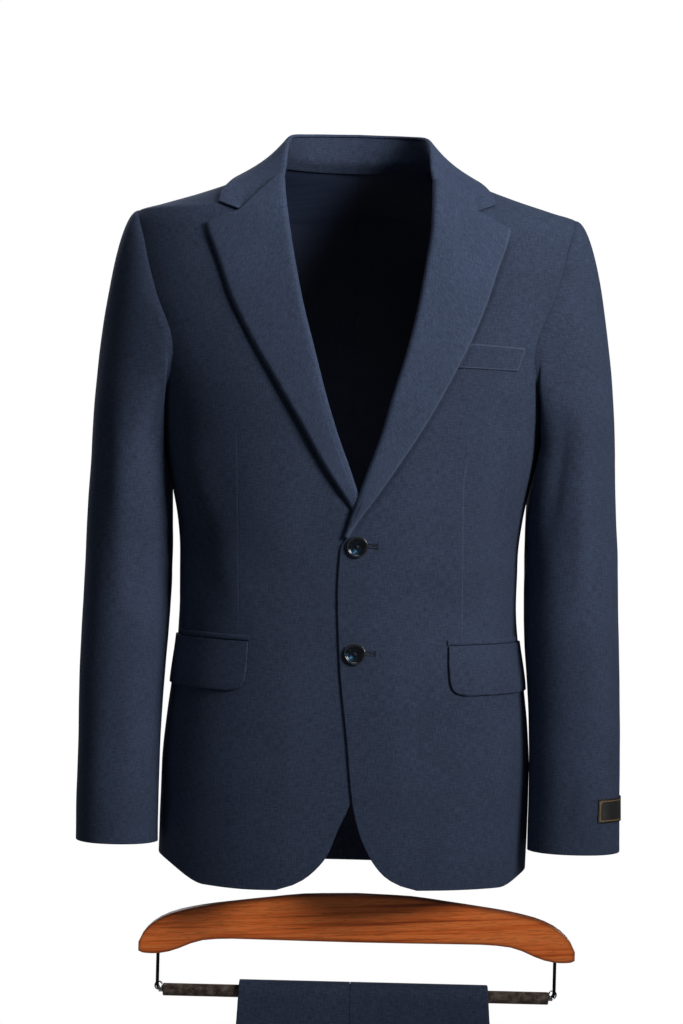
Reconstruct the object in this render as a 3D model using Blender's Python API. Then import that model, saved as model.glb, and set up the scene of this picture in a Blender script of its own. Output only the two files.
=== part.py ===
"""A two-piece suit: a buttoned jacket in its worn, hollow form, and its trousers folded over a hanger.

Metres, +Z up. The front faces -Y, +X is the wearer's left. The origin is in the middle of the neck, at the
height of the collar's top. Tables are in millimetres.
"""

import math

import bmesh
import bpy
from mathutils import Vector

MM = 0.001

# Cloth
WALL = 2.0 * MM  # thickness of a cloth wall
SEAM = 0.3 * MM  # gap between two pieces that are sewn together
CLEAR = 0.7 * MM  # gap under a piece that lies on another
LAID = WALL + CLEAR  # middle of such a piece, from the middle of the one below
LAP = 1.35 * MM  # how far each front is moved where one laps over the other

# Jacket
HEM = -757
NECK_ROW = -24  # the highest row of the fronts and the back
ARMHOLE_HEIGHT = -185  # middle of the armhole
ARMHOLE_RISE = 104  # half its height
ARMHOLE_FRONT = 76  # from its middle to its foremost point
ARMHOLE_BACK = 86
ARMHOLE_LEAN = 25  # its front side is further back at the top and further forward below
ARMHOLE_SQUARE = 2.3
ARMHOLE_STEPS = 28  # points round the armhole, counted from the shoulder to the front
FRONT_SEAM = 12  # the point where the front meets the side panel
BACK_SEAM = -10  # the point where the back meets the side panel
SLEEVE_FRONT_SEAM = 12  # the points where the top sleeve meets the under sleeve
SLEEVE_BACK_SEAM = -8
BUTTON_SIDE = 8  # the buttons stand this far to the wearer's left of the middle
BUTTON_HEIGHTS = {"button_upper": -419, "button_lower": -525}

BODY = [
    dict(zip(("height", "half_width", "front", "back", "squareness"), row))
    for row in (
        (-20, 76, 50, 58, 2.00),
        (-34, 93, 58, 69, 2.00),
        (-48, 123, 67, 80, 2.00),
        (-63, 164, 79, 90, 2.00),
        (-75, 203, 88, 96, 2.00),
        (-82, 225, 93, 99, 2.05),
        (-100, 234, 102, 104, 2.10),
        (-130, 237, 112, 110, 2.15),
        (-165, 235, 121, 114, 2.20),
        (-205, 226, 128, 115, 2.25),
        (-243, 213, 132, 113, 2.30),
        (-275, 202, 133, 110, 2.35),
        (-330, 189, 132, 104, 2.35),
        (-382, 178, 130, 99, 2.35),
        (-430, 173, 128, 97, 2.35),
        (-475, 172, 127, 100, 2.35),
        (-510, 174, 128, 104, 2.35),
        (-560, 180, 130, 110, 2.40),
        (-607, 184, 131, 114, 2.40),
        (-652, 186, 132, 116, 2.40),
        (-757, 187, 134, 118, 2.40),
    )
]

# Soft folds of the body: a line from one end to the other, by distance from the middle and height. A raised
# fold has a positive depth. Side is +1 for the wearer's left, -1 for the right, 0 for both, face -1 for the
# front and +1 for the back.
FOLDS = [
    dict(zip(("side", "face", "out_0", "height_0", "out_1", "height_1", "half_width", "depth"), row))
    for row in (
        (-1, -1, 168, -372, 128, -478, 17, -3.0),
        (1, -1, 160, -392, 122, -505, 17, -3.2),
        (0, -1, 172, -300, 150, -392, 20, 2.6),
        (0, -1, 150, -420, 95, -480, 22, 1.8),
        (0, 1, 30, -418, 150, -452, 20, 2.4),
        (0, 1, 20, -466, 140, -496, 22, -2.4),
        (0, 1, 176, -262, 120, -372, 20, 2.4),
    )
]

# Each lapel from the collar to its end: its fold and its outer edge. The wearer's right one ends where the
# left front covers it, and the left one runs on down the front's free edge.
LAPEL = {
    side: [dict(zip(("roll_out", "roll_height", "edge_out", "edge_height"), row)) for row in rows]
    for side, rows in (
        (
            -1,
            (
                (75.5, -52.0, 151.3, -100.5),
                (73.8, -70.0, 146.3, -115.5),
                (69.3, -100.0, 137.6, -138.0),
                (62.8, -140.0, 125.3, -174.5),
                (55.2, -182.0, 107.6, -211.5),
                (45.4, -225.0, 83.2, -255.0),
                (34.5, -272.0, 58.8, -297.0),
                (22.6, -313.0, 36.8, -337.0),
                (12.5, -341.0, 20.0, -362.5),
                (4.5, -364.5, 6.5, -379.5),
            ),
        ),
        (
            1,
            (
                (76.8, -52.8, 153.0, -100.5),
                (76.8, -70.0, 148.9, -115.5),
                (75.7, -100.0, 140.6, -138.0),
                (69.6, -140.0, 128.0, -174.5),
                (61.2, -182.0, 112.0, -211.5),
                (49.6, -225.0, 88.9, -255.0),
                (33.9, -272.0, 64.4, -297.0),
                (21.2, -313.0, 37.5, -338.0),
                (7.5, -350.0, 14.5, -372.0),
                (-2.5, -380.0, 0.9, -391.0),
                (-12.9, -410.0, -10.3, -410.6),
            ),
        ),
    )
}
# The line where each lapel folds, and the neckline above it, by distance from the middle.
ROLL = {
    side: [
        {"height": -20.0, "out": 74.5},
        {"height": -42.0, "out": 76.0},
        *({"height": row["roll_height"], "out": row["roll_out"]} for row in rows),
    ]
    for side, rows in LAPEL.items()
}
ROLL_OUT = 2.0  # the fold lies this far beyond its line on the outside
NOTCH = (119.1, -84.1)  # where the collar's end leaves the lapel, by distance from the middle and height
LEAN = 9  # the fronts' meeting line leans this far to the wearer's left at the break

# The free edge of each front below its lapel, by its place along X.
FRONT_EDGE = [
    dict(zip(("height", "upper", "under"), row))
    for row in (
        (-367, 13.0, 3.9),
        (-379, 9.0, 13),
        (-394, 3.6, 22),
        (-410, -2.3, 26),
        (-417, -7.3, 26),
        (-424, -8.9, 26.5),
        (-460, -10.5, 27),
        (-532, -7, 27),
        (-610, 2, 20),
        (-672, 9, 7),
        (-700, 16, -5),
        (-724, 27, -14.5),
        (-741, 40, -29),
        (-751, 55, -44),
        (-757, 75, -64),
    )
]
SIDE_HEM_LIFT = 20  # the hem is this much higher at the very sides
SIDE_HEM = (0.86, 0.99)  # where it rises, by the sine of the angle from the front
SHOULDER_ROWS = (NECK_ROW, -34, -46, -59, -71)
BODY_ROWS = (-294, -322, -352, -390, -430, -475, -520, -570, -620, -668, -704, -730, -748, HEM)
FRONT_ONLY_ROWS = (-365, -378, -410, -417)
FRONT_COLUMNS = 8
BACK_COLUMNS = 7

# The sleeves below the shoulder, as sections from the middle of each. The wearer's left one is turned a
# little to the front, so it is wider.
SLEEVE_COLUMNS = ("height", "out", "half_width", "left_out", "left_half_width", "forward", "half_depth")
SLEEVE = [
    dict(zip(SLEEVE_COLUMNS, row))
    for row in (
        (-330, 221.6, 44.2, 223.2, 46.6, 3, 67.5),
        (-380, 223.2, 44.3, 224.5, 47.2, 7, 65),
        (-430, 224.6, 44.0, 226.6, 47.4, 13, 62),
        (-480, 225.6, 43.7, 228.4, 47.4, 20, 59),
        (-540, 227.0, 43.4, 230.4, 47.0, 28, 56),
        (-610, 227.8, 42.1, 233.0, 45.8, 36, 52),
        (-670, 227.8, 41.6, 233.9, 45.6, 43, 50),
        (-722, 227.3, 41.4, 233.7, 46.0, 48, 48),
    )
]
SLEEVE_SQUARE = 2.15
SLEEVE_CLEAR = 2.2  # gap between the sleeve and the body
SLEEVE_TURN = 20  # degrees that the lines of the lower front are turned forward
UNDER_RISE = 1.2  # how far the sleeve rises from the armhole's lower edge before it goes down
CAP_STEPS = (0.0, 0.06, 0.14, 0.25, 0.38, 0.52, 0.67, 0.84)

# The collar from the middle of the back to the front: its fold and its outer edge.
COLLAR = [
    dict(zip(("fold_out", "fold_forward", "fold_height", "edge_out", "edge_height", "edge_back"), row))
    for row in (
        (0, -60, 10, 0, -37, 1),
        (20, -58, 9.5, 29, -37, 1),
        (39, -51, 8.5, 56, -37.5, 1),
        (55, -38, 6.5, 80, -38, 1),
        (66, -21, 4, 99, -39.5, 1),
        (72, -2, 0, 115, -44, 0),
        (74.5, 17, -9, 124, -50.5, -1),
        (75.5, 31, -21, 131, -58.5, -1),
        (76, 43, -34, 136, -66.5, -1),
    )
]
COLLAR_TIP = (138.8, -74.5)
COLLAR_DROP = 3.2  # how far the collar hangs below a straight line from its fold to its edge
GORGE_GAP = 1.2  # between the collar's end and the lapel
COLLAR_LIFT = 2.0 * MM  # the collar's edge stands off the shoulders by this much more

# Pockets, in millimetres
FLAP = [
    dict(zip(("height", "out"), row))
    for row in ((-516, 100), (-536, 100.5), (-551, 102), (-559, 105), (-563, 110), (-565, 118))
]
JETTING = (-509.5, -515)
POCKET_START = 100
POCKET_RISE = 3.0  # its outer end is this much higher
POCKET_END_DEPTH = 6  # the pocket's outer end is this far in front of the body's side
WELT = ((115.0, -215.5), (170, -217.5), (163, -240.5), (103.4, -240))  # its corners, along X and by height
# A button from its back to its face, by radius and by how far out.
BUTTON = ((0, 0), (8.8, 0), (10.2, 0.7), (10.6, 1.8), (10.2, 3), (9.3, 3.6), (8.2, 3.3), (7, 2.5), (0, 2.1))
LABEL = {"low": -690, "high": -666, "start": 68, "end": -38, "thickness": 0.8}

# Hanger and trousers
HANGER_SIDE = 17.5  # its middle is this far to the wearer's left
HANGER_FORWARD = 45
HANGER_THICK = 15
HANGER = [
    dict(zip(("out", "top", "bottom"), row))
    for row in (
        (0, -772.0, -820.5),
        (50, -773.5, -820.3),
        (90, -778.0, -820.0),
        (125, -782.5, -819.8),
        (150, -786.0, -821.0),
        (168, -789.5, -825.5),
        (182, -793.0, -831.5),
        (196, -798.5, -835.5),
        (207, -805.5, -836.5),
        (216, -815.0, -836.0),
        (221, -825.0, -834.0),
    )
]
WIRE_OUT = 201.3
WIRE_RADIUS = 1.7
BAR_HEIGHT = -873.5
BAR_RADIUS = 6.35
BAR_HALF = 192.5

CORE_THICK = 3.4  # the hidden layers
LEG_THICK = 1.6  # the layer that shows
LEG_SPACING = 65  # between rows of points along the drops
BAND_THICK = 2.4
PRESSED_BELOW = 75  # the two drops lie together this far below the bar
# The folded legs along their length: waist side (hanging in front) positive, hem side negative.
LEG = [
    dict(zip(("along", "front_crease", "back_crease", "seam"), row))
    for row in (
        (-560, -74.0, 126.0, 22.0),
        (-400, -82.0, 134.0, 20.0),
        (-250, -89.0, 139.0, 17.0),
        (-100, -95.0, 145.0, 13.0),
        (0, -100.5, 151.0, 11.7),
        (40, -102.5, 154.0, 12.0),
        (120, -108.0, 166.0, 14.0),
        (210, -112.0, 187.0, 18.0),
        (270, -110.0, 186.0, 20.0),
        (350, -104.0, 170.0, 22.0),
        (440, -98.0, 148.0, 24.0),
        (492, -96.0, 140.0, 24.0),
    )
]
BAND_HEIGHT = 38

COLORS = {
    "navy_wool": (0.030, 0.040, 0.066, 0.82, 0.0),
    "horn": (0.012, 0.016, 0.030, 0.25, 0.0),
    "woven_label": (0.008, 0.008, 0.009, 0.75, 0.0),
    "varnished_wood": (0.270, 0.080, 0.026, 0.30, 0.0),
    "chrome": (0.560, 0.560, 0.570, 0.18, 1.0),
    "flock": (0.035, 0.022, 0.018, 0.95, 0.0),
}


def material(name):
    """The material of that name, made the first time it is asked for."""
    if name in bpy.data.materials:
        return bpy.data.materials[name]
    red, green, blue, roughness, metallic = COLORS[name]
    made = bpy.data.materials.new(name)
    made.use_nodes = True
    shader = made.node_tree.nodes["Principled BSDF"]
    shader.inputs["Base Color"].default_value = (red, green, blue, 1.0)
    shader.inputs["Roughness"].default_value = roughness
    shader.inputs["Metallic"].default_value = metallic
    return made


def between(table, key, at):
    """Every column of a table at one value of its key column, on a curve through the rows."""
    rows = sorted(table, key=lambda row: row[key])
    at = min(max(at, rows[0][key]), rows[-1][key])
    k = max(i for i in range(len(rows) - 1) if rows[i][key] <= at)
    gaps = [b[key] - a[key] for a, b in zip(rows, rows[1:])]
    t = (at - rows[k][key]) / gaps[k]
    found = {}
    for name in rows[0]:
        slopes = [(b[name] - a[name]) / gap for a, b, gap in zip(rows, rows[1:], gaps)]

        def tangent(i):
            if i == 0 or i == len(slopes):
                return slopes[max(0, i - 1)]
            before, after = slopes[i - 1], slopes[i]
            return 0.0 if before * after <= 0 else 2 * before * after / (before + after)

        found[name] = (
            (2 * t**3 - 3 * t**2 + 1) * rows[k][name]
            + (t**3 - 2 * t**2 + t) * gaps[k] * tangent(k)
            + (3 * t**2 - 2 * t**3) * rows[k + 1][name]
            + (t**3 - t**2) * gaps[k] * tangent(k + 1)
        )
    return found


def ease(low, high, at):
    """0 below low, 1 above high, and smooth between them; high may be the lower of the two."""
    t = min(1.0, max(0.0, (at - low) / (high - low)))
    return t * t * (3 - 2 * t)


def lerp(a, b, t):
    return a + (b - a) * t


# ---- the body's surface --------------------------------------------------------------------------


def body_radius(angle, height):
    """From the body's axis to its surface, in millimetres; the angle grows from the front to the left."""
    ring = between(BODY, "height", height)
    reach = ring["front"] if math.cos(angle) > 0 else ring["back"]
    power = ring["squareness"]
    across = abs(math.sin(angle)) / ring["half_width"]
    along = abs(math.cos(angle)) / reach
    return (across**power + along**power) ** (-1 / power)


def body_base(angle, height):
    """A point of the body before its folds, in millimetres."""
    radius = body_radius(angle, height)
    x = radius * math.sin(angle)
    lift = SIDE_HEM_LIFT * ease(-600, HEM, height) * ease(*SIDE_HEM, abs(math.sin(angle)))
    return Vector((x, -radius * math.cos(angle), height + lift))


def body_normal(angle, height):
    turn, rise = 0.01, 1.5
    around = body_base(angle + turn, height) - body_base(angle - turn, height)
    upward = body_base(angle, height + rise) - body_base(angle, height - rise)
    return around.cross(upward).normalized()


def angle_at_x(x, height, face):
    """The body's angle where it has this X, on the front (face -1) or the back (+1)."""
    ring = between(BODY, "height", height)
    share = min(1.0, abs(x) / ring["half_width"])
    reach = ring["front"] if face < 0 else ring["back"]
    y = face * reach * (1 - share ** ring["squareness"]) ** (1 / ring["squareness"])
    return math.atan2(x, -y)


def angle_at_y(y, height, side):
    ring = between(BODY, "height", height)
    share = min(1.0, abs(y) / (ring["front"] if y < 0 else ring["back"]))
    x = side * ring["half_width"] * (1 - share ** ring["squareness"]) ** (1 / ring["squareness"])
    return math.atan2(x, -y)


def fold_depth(point):
    """How far the soft folds move a point of the body outwards."""
    total = 0.0
    for fold in FOLDS:
        if fold["side"] * point.x < 0 or fold["face"] * point.y < 0:
            continue
        start = Vector((fold["out_0"], fold["height_0"]))
        end = Vector((fold["out_1"], fold["height_1"]))
        here = Vector((abs(point.x), point.z)) - start
        run = (end - start).length
        along = here.dot((end - start) / run)
        off = (here - along * (end - start) / run).length
        if 0 < along < run:
            across = math.exp(-((off / fold["half_width"]) ** 2))
            total += fold["depth"] * math.sin(math.pi * along / run) * across
    return total


def cloth(side, angle, height, out=0.0):
    """(point, normal) of the body's cloth in metres; out is how far it is moved out, in metres."""
    base = body_base(angle, height)
    normal = body_normal(angle, height)
    near_middle = ease(75, 38, abs(base.x - BUTTON_SIDE)) if base.y < 0 else 0.0
    lap = side * LAP * near_middle * ease(-300, -340, height)
    return base * MM + normal * (fold_depth(base) * MM + lap + out), normal


def lean(height):
    return LEAN * ease(-80, -370, height)


# ---- building meshes -----------------------------------------------------------------------------


def add_object(name, mesh_points, faces, material_name):
    mesh = bpy.data.meshes.new(name)
    mesh.from_pydata([tuple(p) for p in mesh_points], [], faces)
    shape = bmesh.new()
    shape.from_mesh(mesh)
    bmesh.ops.recalc_face_normals(shape, faces=shape.faces)
    shape.to_mesh(mesh)
    shape.free()
    mesh.shade_smooth()
    mesh.set_sharp_from_angle(angle=math.radians(40))
    mesh.materials.append(material(material_name))
    made = bpy.data.objects.new(name, mesh)
    bpy.context.scene.collection.objects.link(made)
    return made


def grid_normals(rows):
    """A normal for each point of a grid, from its neighbours."""
    found = []
    for j, row in enumerate(rows):
        line = []
        for i in range(len(row)):
            across = row[min(i + 1, len(row) - 1)] - row[max(i - 1, 0)]
            down = rows[min(j + 1, len(rows) - 1)][i] - rows[max(j - 1, 0)][i]
            line.append(across.cross(down).normalized())
        found.append(line)
    return found


def wall(name, rows, normals=None, thickness=WALL, material_name="navy_wool"):
    """A closed wall round a grid of points, half its thickness to each side."""
    normals = normals or grid_normals(rows)
    high, wide = len(rows), len(rows[0])
    points = []
    for side in (0.5, -0.5):
        for j in range(high):
            points += [rows[j][i] + normals[j][i] * thickness * side for i in range(wide)]
    back = high * wide
    faces = []
    for j in range(high - 1):
        for i in range(wide - 1):
            a, b, c, d = j * wide + i, j * wide + i + 1, (j + 1) * wide + i + 1, (j + 1) * wide + i
            faces += [(a, b, c, d), (back + d, back + c, back + b, back + a)]
    border = [(0, i) for i in range(wide)] + [(j, wide - 1) for j in range(1, high)]
    border += [(high - 1, i) for i in range(wide - 2, -1, -1)] + [(j, 0) for j in range(high - 2, 0, -1)]
    loop = [j * wide + i for j, i in border]
    for a, b in zip(loop, loop[1:] + loop[:1]):
        faces.append((b, a, back + a, back + b))
    return add_object(name, points, faces, material_name)


def lofted(name, rings, material_name):
    """A closed solid through rings of the same number of points, with flat ends."""
    size = len(rings[0])
    points = [p for ring in rings for p in ring]
    faces = [tuple(range(size)), tuple(reversed(range(len(points) - size, len(points))))]
    for k in range(len(rings) - 1):
        for i in range(size):
            a, b = k * size + i, k * size + (i + 1) % size
            faces.append((b, a, a + size, b + size))
    return add_object(name, points, faces, material_name)


# ---- the jacket's body ---------------------------------------------------------------------------


def armhole_place(step, grow=0.0):
    """(Y, height) of a point of the armhole, in millimetres."""
    angle = 2 * math.pi * step / ARMHOLE_STEPS
    reach = (ARMHOLE_FRONT if step > 0 else ARMHOLE_BACK) + grow
    rise = ARMHOLE_RISE + grow
    across, along = abs(math.sin(angle)) / reach, abs(math.cos(angle)) / rise
    radius = (across**ARMHOLE_SQUARE + along**ARMHOLE_SQUARE) ** (-1 / ARMHOLE_SQUARE)
    shift = ARMHOLE_LEAN * math.sin(angle) * math.cos(angle) if step > 0 else 0.0
    return -radius * math.sin(angle) + shift, ARMHOLE_HEIGHT + radius * math.cos(angle)


def front_inner_x(side, height):
    """Where a front begins: at the neckline and the lapel's fold, and below the lapel at its free edge."""
    if height > LAPEL[side][-1]["roll_height"]:
        return side * (between(ROLL[side], "height", height)["out"] + 1.6) + lean(height)
    return between(FRONT_EDGE, "height", height)["upper" if side > 0 else "under"]


def panel(name, side, face):
    """A front (face -1) or a back (+1), from the middle to the shoulder, the armhole and the side panel."""
    seam_step = FRONT_SEAM if face < 0 else -BACK_SEAM
    half_seam = SEAM / MM / 2
    armhole = [armhole_place(-face * step, half_seam * 2) for step in range(seam_step + 1)]
    seam_y = armhole_place(-face * seam_step)[0] + face * half_seam
    rows = [(height, None) for height in SHOULDER_ROWS]
    rows += [(height, y) for y, height in armhole]
    lower = BODY_ROWS if face > 0 else sorted(BODY_ROWS + FRONT_ONLY_ROWS, reverse=True)
    rows += [(height, seam_y) for height in lower]
    columns = FRONT_COLUMNS if face < 0 else BACK_COLUMNS
    points, normals = [], []
    for height, y in rows:
        if face < 0:
            inner = angle_at_x(front_inner_x(side, height), height, -1)
        else:
            inner = side * (math.pi - half_seam / body_radius(math.pi, height))
        if y is None or abs(y) < half_seam:
            outer = side * (math.pi / 2 + face * half_seam / body_radius(math.pi / 2, height))
        else:
            outer = angle_at_y(y, height, side)
        line = [cloth(side, lerp(inner, outer, i / columns), height) for i in range(columns + 1)]
        points.append([p for p, _ in line])
        normals.append([n for _, n in line])
    return wall(name, points, normals)


def side_panel(name, side):
    half_seam = SEAM / MM / 2
    steps = list(range(FRONT_SEAM, ARMHOLE_STEPS + BACK_SEAM + 1))
    steps = [step if step <= ARMHOLE_STEPS / 2 else step - ARMHOLE_STEPS for step in steps]
    tops = [armhole_place(step, half_seam * 2) for step in steps]
    ys = [armhole_place(step)[0] for step in steps]
    ys[0] += half_seam
    ys[-1] -= half_seam
    points, normals = [], []
    for level in (None, *BODY_ROWS):
        line = []
        for y, (_, top) in zip(ys, tops):
            height = top if level is None else level
            line.append(cloth(side, angle_at_y(y, height, side), height))
        points.append([p for p, _ in line])
        normals.append([n for _, n in line])
    return wall(name, points, normals)


# ---- sleeves -------------------------------------------------------------------------------------


def sleeve_section(side, step, height):
    """A point of the sleeve below its cap, in millimetres, kept clear of the body."""
    row = between(SLEEVE, "height", height)
    degrees = 360 * step / ARMHOLE_STEPS
    angle = math.radians(degrees - SLEEVE_TURN * ease(50, 135, degrees) * ease(180, 145, degrees))
    half_width, middle = row["half_width"], row["out"]
    if side > 0:
        half_width, middle = row["left_half_width"], row["left_out"]
    across, along = abs(math.cos(angle)) / half_width, abs(math.sin(angle)) / row["half_depth"]
    radius = (across**SLEEVE_SQUARE + along**SLEEVE_SQUARE) ** (-1 / SLEEVE_SQUARE)
    y = -row["forward"] - radius * math.sin(angle)
    x = middle + radius * math.cos(angle)
    return Vector((side * clear_of_body(x, y, height, 1.0), y, height))


def clear_of_body(x, y, height, share):
    """X, moved out where the sleeve would touch the body; share fades the distance in below the armhole."""
    ring = between(BODY, "height", height)
    reach = ring["front"] if y < 0 else ring["back"]
    if abs(y) >= reach:
        return x
    body = ring["half_width"] * (1 - (abs(y) / reach) ** ring["squareness"]) ** (1 / ring["squareness"])
    least = body + (WALL / MM + SLEEVE_CLEAR) * share
    gap = x - least
    return x if gap > 8 else least + (math.exp(gap / 8 - 1) * 8 if gap > -40 else 0.0)


def cap_point(side, step, t):
    """A point of the sleeve's cap, between the armhole and the first section, in millimetres."""
    y, height = armhole_place(step)
    start = body_base(angle_at_y(y, height, side), height)
    end = sleeve_section(side, step, SLEEVE[0]["height"])
    angle = 2 * math.pi * step / ARMHOLE_STEPS
    top, front = math.cos(angle), math.sin(angle)
    leave_down = -18 * abs(front) - 8 * (1 - top) + 5 * max(0.0, top)
    leave = Vector((side * (37 + 36 * top), -16 * front, leave_down))
    arrive = Vector((side * 2, -4, -(end - start).length))
    point = (
        (2 * t**3 - 3 * t**2 + 1) * start
        + (t**3 - 2 * t**2 + t) * leave
        + (3 * t**2 - 2 * t**3) * end
        + (t**3 - t**2) * arrive
    )
    if t > 0 and top < 0.3:
        lower = ease(0.3, -0.1, top)
        out = clear_of_body(side * point.x, point.y, point.z, min(1.0, t / 0.1))
        point.x = lerp(point.x, side * out, lower)
        point += armhole_inward(side, step) * UNDER_RISE * lower * math.sin(math.pi * min(1.0, t / 0.25))
    return point


def armhole_inward(side, step):
    """From a point of the armhole towards its middle, along the body."""
    y, height = armhole_place(step)
    normal = body_normal(angle_at_y(y, height, side), height)
    inward = Vector((0, -y, ARMHOLE_HEIGHT - height)).normalized()
    return (inward - inward.dot(normal) * normal).normalized()


def sleeve_rows(side, steps):
    """The points and normals of one sleeve piece, a row for each level and a column for each step."""
    heights = [row["height"] for row in SLEEVE]

    def place(step, level):
        if level < len(CAP_STEPS):
            return cap_point(side, step, CAP_STEPS[level]) * MM
        return sleeve_section(side, step, heights[level - len(CAP_STEPS)]) * MM

    levels = len(CAP_STEPS) + len(heights)

    def half_gap(step, level):
        """The steps that make half a seam gap, measured square to the seam."""
        around = place(step + 0.5, level) - place(step - 0.5, level)
        seam = (place(step, min(level + 1, levels - 1)) - place(step, max(level - 1, 0))).normalized()
        gap = SEAM * (1.8 if level < 2 else 1.0)  # wider where the seam turns over the armhole
        return 0.5 * gap / (around - around.dot(seam) * seam).length

    points, normals = [], []
    for level in range(levels):
        line, facing = [], []
        first = steps[0] + half_gap(steps[0], level)
        last = steps[-1] - half_gap(steps[-1], level)
        for step in (first, *steps[1:-1], last):
            here = place(step, level)
            around = place(step + 0.5, level) - place(step - 0.5, level)
            along = place(step, min(level + 1, levels - 1)) - place(step, max(level - 1, 0))
            normal = around.cross(along).normalized() * side
            if level < 2:
                y, height = armhole_place(step)
                body = body_normal(angle_at_y(y, height, side), height)
                normal = body if level == 0 else (normal + body).normalized()
            if level == 0:
                here += armhole_inward(side, step) * SEAM
            line.append(here)
            facing.append(normal)
        points.append(line)
        normals.append(facing)
    return points, normals


def sleeve(side, word):
    front, back = SLEEVE_FRONT_SEAM, SLEEVE_BACK_SEAM
    under_steps = list(range(front, ARMHOLE_STEPS + back + 1))
    under_steps = [step if step <= ARMHOLE_STEPS / 2 else step - ARMHOLE_STEPS for step in under_steps]
    wall("top_sleeve_" + word, *sleeve_rows(side, list(range(back, front + 1))))
    wall("under_sleeve_" + word, *sleeve_rows(side, under_steps))


# ---- lapels and collar ---------------------------------------------------------------------------


def on_front(side, out, height, lift, face=-1):
    """A point moved out from the front (or the back), by its distance from the leaning middle line."""
    x = side * out + lean(height)
    return cloth(side, angle_at_x(x, height, face), height, lift)[0]


def lapel(name, side):
    """The folded-back part of a front, with its rolled edge turned round the front's own edge."""
    shares = (0.14, 0.32, 0.52, 0.76, 1.0)
    notch_share = shares[2]
    full_width = 6.0  # a narrower lapel has a smaller roll
    table = [{**row, "row": i} for i, row in enumerate(LAPEL[side])]
    steps = (0.0, 0.3, 0.65, 1.0, 1.5, 2.0, 2.5, *range(3, len(table)))
    rows = []
    for k in steps:
        row = between(table, "row", k)
        fold = Vector((row["roll_out"], row["roll_height"]))
        edge = Vector((row["edge_out"], row["edge_height"]))
        size = min(1.0, (edge - fold).length / full_width)
        puff = lerp(3.4, 1.0, k / steps[-1]) * MM
        start = fold + Vector((ROLL_OUT * size, 0))
        line = [
            on_front(side, fold.x - 0.9 * size, fold.y, -0.4 * MM),
            on_front(side, fold.x - 1.6 * size, fold.y, 2.1 * MM),
            on_front(side, start.x, start.y, LAID + puff),
        ]
        for share in shares:
            at = start.lerp(edge, share)
            if k == 0 and share <= notch_share:
                at = start.lerp(Vector(NOTCH), share / notch_share)
            elif k == 0:
                at = Vector(NOTCH).lerp(edge, (share - notch_share) / (1 - notch_share))
            line.append(on_front(side, at.x, at.y, LAID + puff * (1 - share) + 0.3 * MM))
        rows.append(line)
    if side < 0:
        rows = [list(reversed(line)) for line in rows]
    return wall(name, rows)


def collar_fall():
    """The outer collar, from its fold down over the neck seam to its edge and its two points."""
    shares = (0.0, 0.12, 0.3, 0.5, 0.75, 1.0)
    half = []
    for row in COLLAR:
        fold = Vector((row["fold_out"], -row["fold_forward"], row["fold_height"])) * MM
        face = row["edge_back"] or -1
        edge = collar_edge(row["edge_out"], row["edge_height"], face)
        out = Vector((fold.x, fold.y, 0)).normalized()
        line = []
        for share in shares:
            drop = math.sin(math.pi * share) * COLLAR_DROP * MM
            line.append(fold.lerp(edge, share) - (out * 0.8 + Vector((0, 0, 0.6))) * drop)
        half.append(line)
    last = []
    notch_share = 0.62
    for share in shares:
        start, notch, tip = Vector((76.3, -50.5)), Vector(NOTCH), Vector(COLLAR_TIP)
        if share <= notch_share:
            at = start.lerp(notch + Vector((0, GORGE_GAP)), share / notch_share)
        else:
            at = (notch + Vector((0, GORGE_GAP))).lerp(tip, (share - notch_share) / (1 - notch_share))
        last.append(on_front(1, at.x, at.y, LAID + 2.4 * MM * (1 - share)))
    half.append(last)
    rows = [[Vector((-p.x, p.y, p.z)) for p in line] for line in reversed(half)] + half[1:]
    return wall("collar_fall", rows)


def collar_edge(out, height, face):
    """A point of the collar's outer edge, on the shoulders."""
    ring = between(BODY, "height", height)
    out = min(out, ring["half_width"] - 0.5)
    angle = angle_at_x(out, height, face)
    base = body_base(angle, height)
    return base * MM + body_normal(angle, height) * (LAID + COLLAR_LIFT)


def collar_stand():
    """The band inside the collar, from the neck seam up to the fold."""
    half = []
    for row in COLLAR[:-1]:
        top = Vector((row["fold_out"], -row["fold_forward"], row["fold_height"] - 1.2)) * MM
        inward = Vector((top.x, top.y, 0)).normalized()
        top -= inward * (WALL + 1.4 * SEAM)
        angle = math.atan2(row["fold_out"], row["fold_forward"])
        foot = body_base(angle, BODY[0]["height"]) * MM - inward * (WALL + CLEAR)
        if row["fold_height"] < -6:
            foot = top + (foot - top) * 0.5
        half.append([top, top.lerp(foot, 0.5) - inward * 0.5 * MM, foot])
    rows = [[Vector((-p.x, p.y, p.z)) for p in line] for line in reversed(half)] + half[1:]
    return wall("collar_stand", rows)


# ---- pockets, buttons and label ------------------------------------------------------------------


def pocket_rows(side, levels, lift):
    """Rows on the body's front from the pocket's inner end round to the side; levels are (out, height)."""
    columns = 9
    rows = []
    for out, height in levels:
        line = []
        for i in range(columns + 1):
            level = height + POCKET_RISE * i / columns
            start = angle_at_x(side * out, level, -1)
            end = angle_at_y(-POCKET_END_DEPTH, level, side)
            line.append(cloth(side, lerp(start, end, i / columns), level, lift)[0])
        rows.append(line)
    if side < 0:
        rows = [list(reversed(line)) for line in rows]
    return rows


def pockets(side, word):
    flap = [(row["out"], row["height"]) for row in FLAP]
    wall("flap_" + word, pocket_rows(side, flap, LAID))
    jetting = [(POCKET_START, height) for height in JETTING]
    wall("jetting_" + word, pocket_rows(side, jetting, WALL / 2 + CLEAR + 0.5 * MM), thickness=1.0 * MM)


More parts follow.
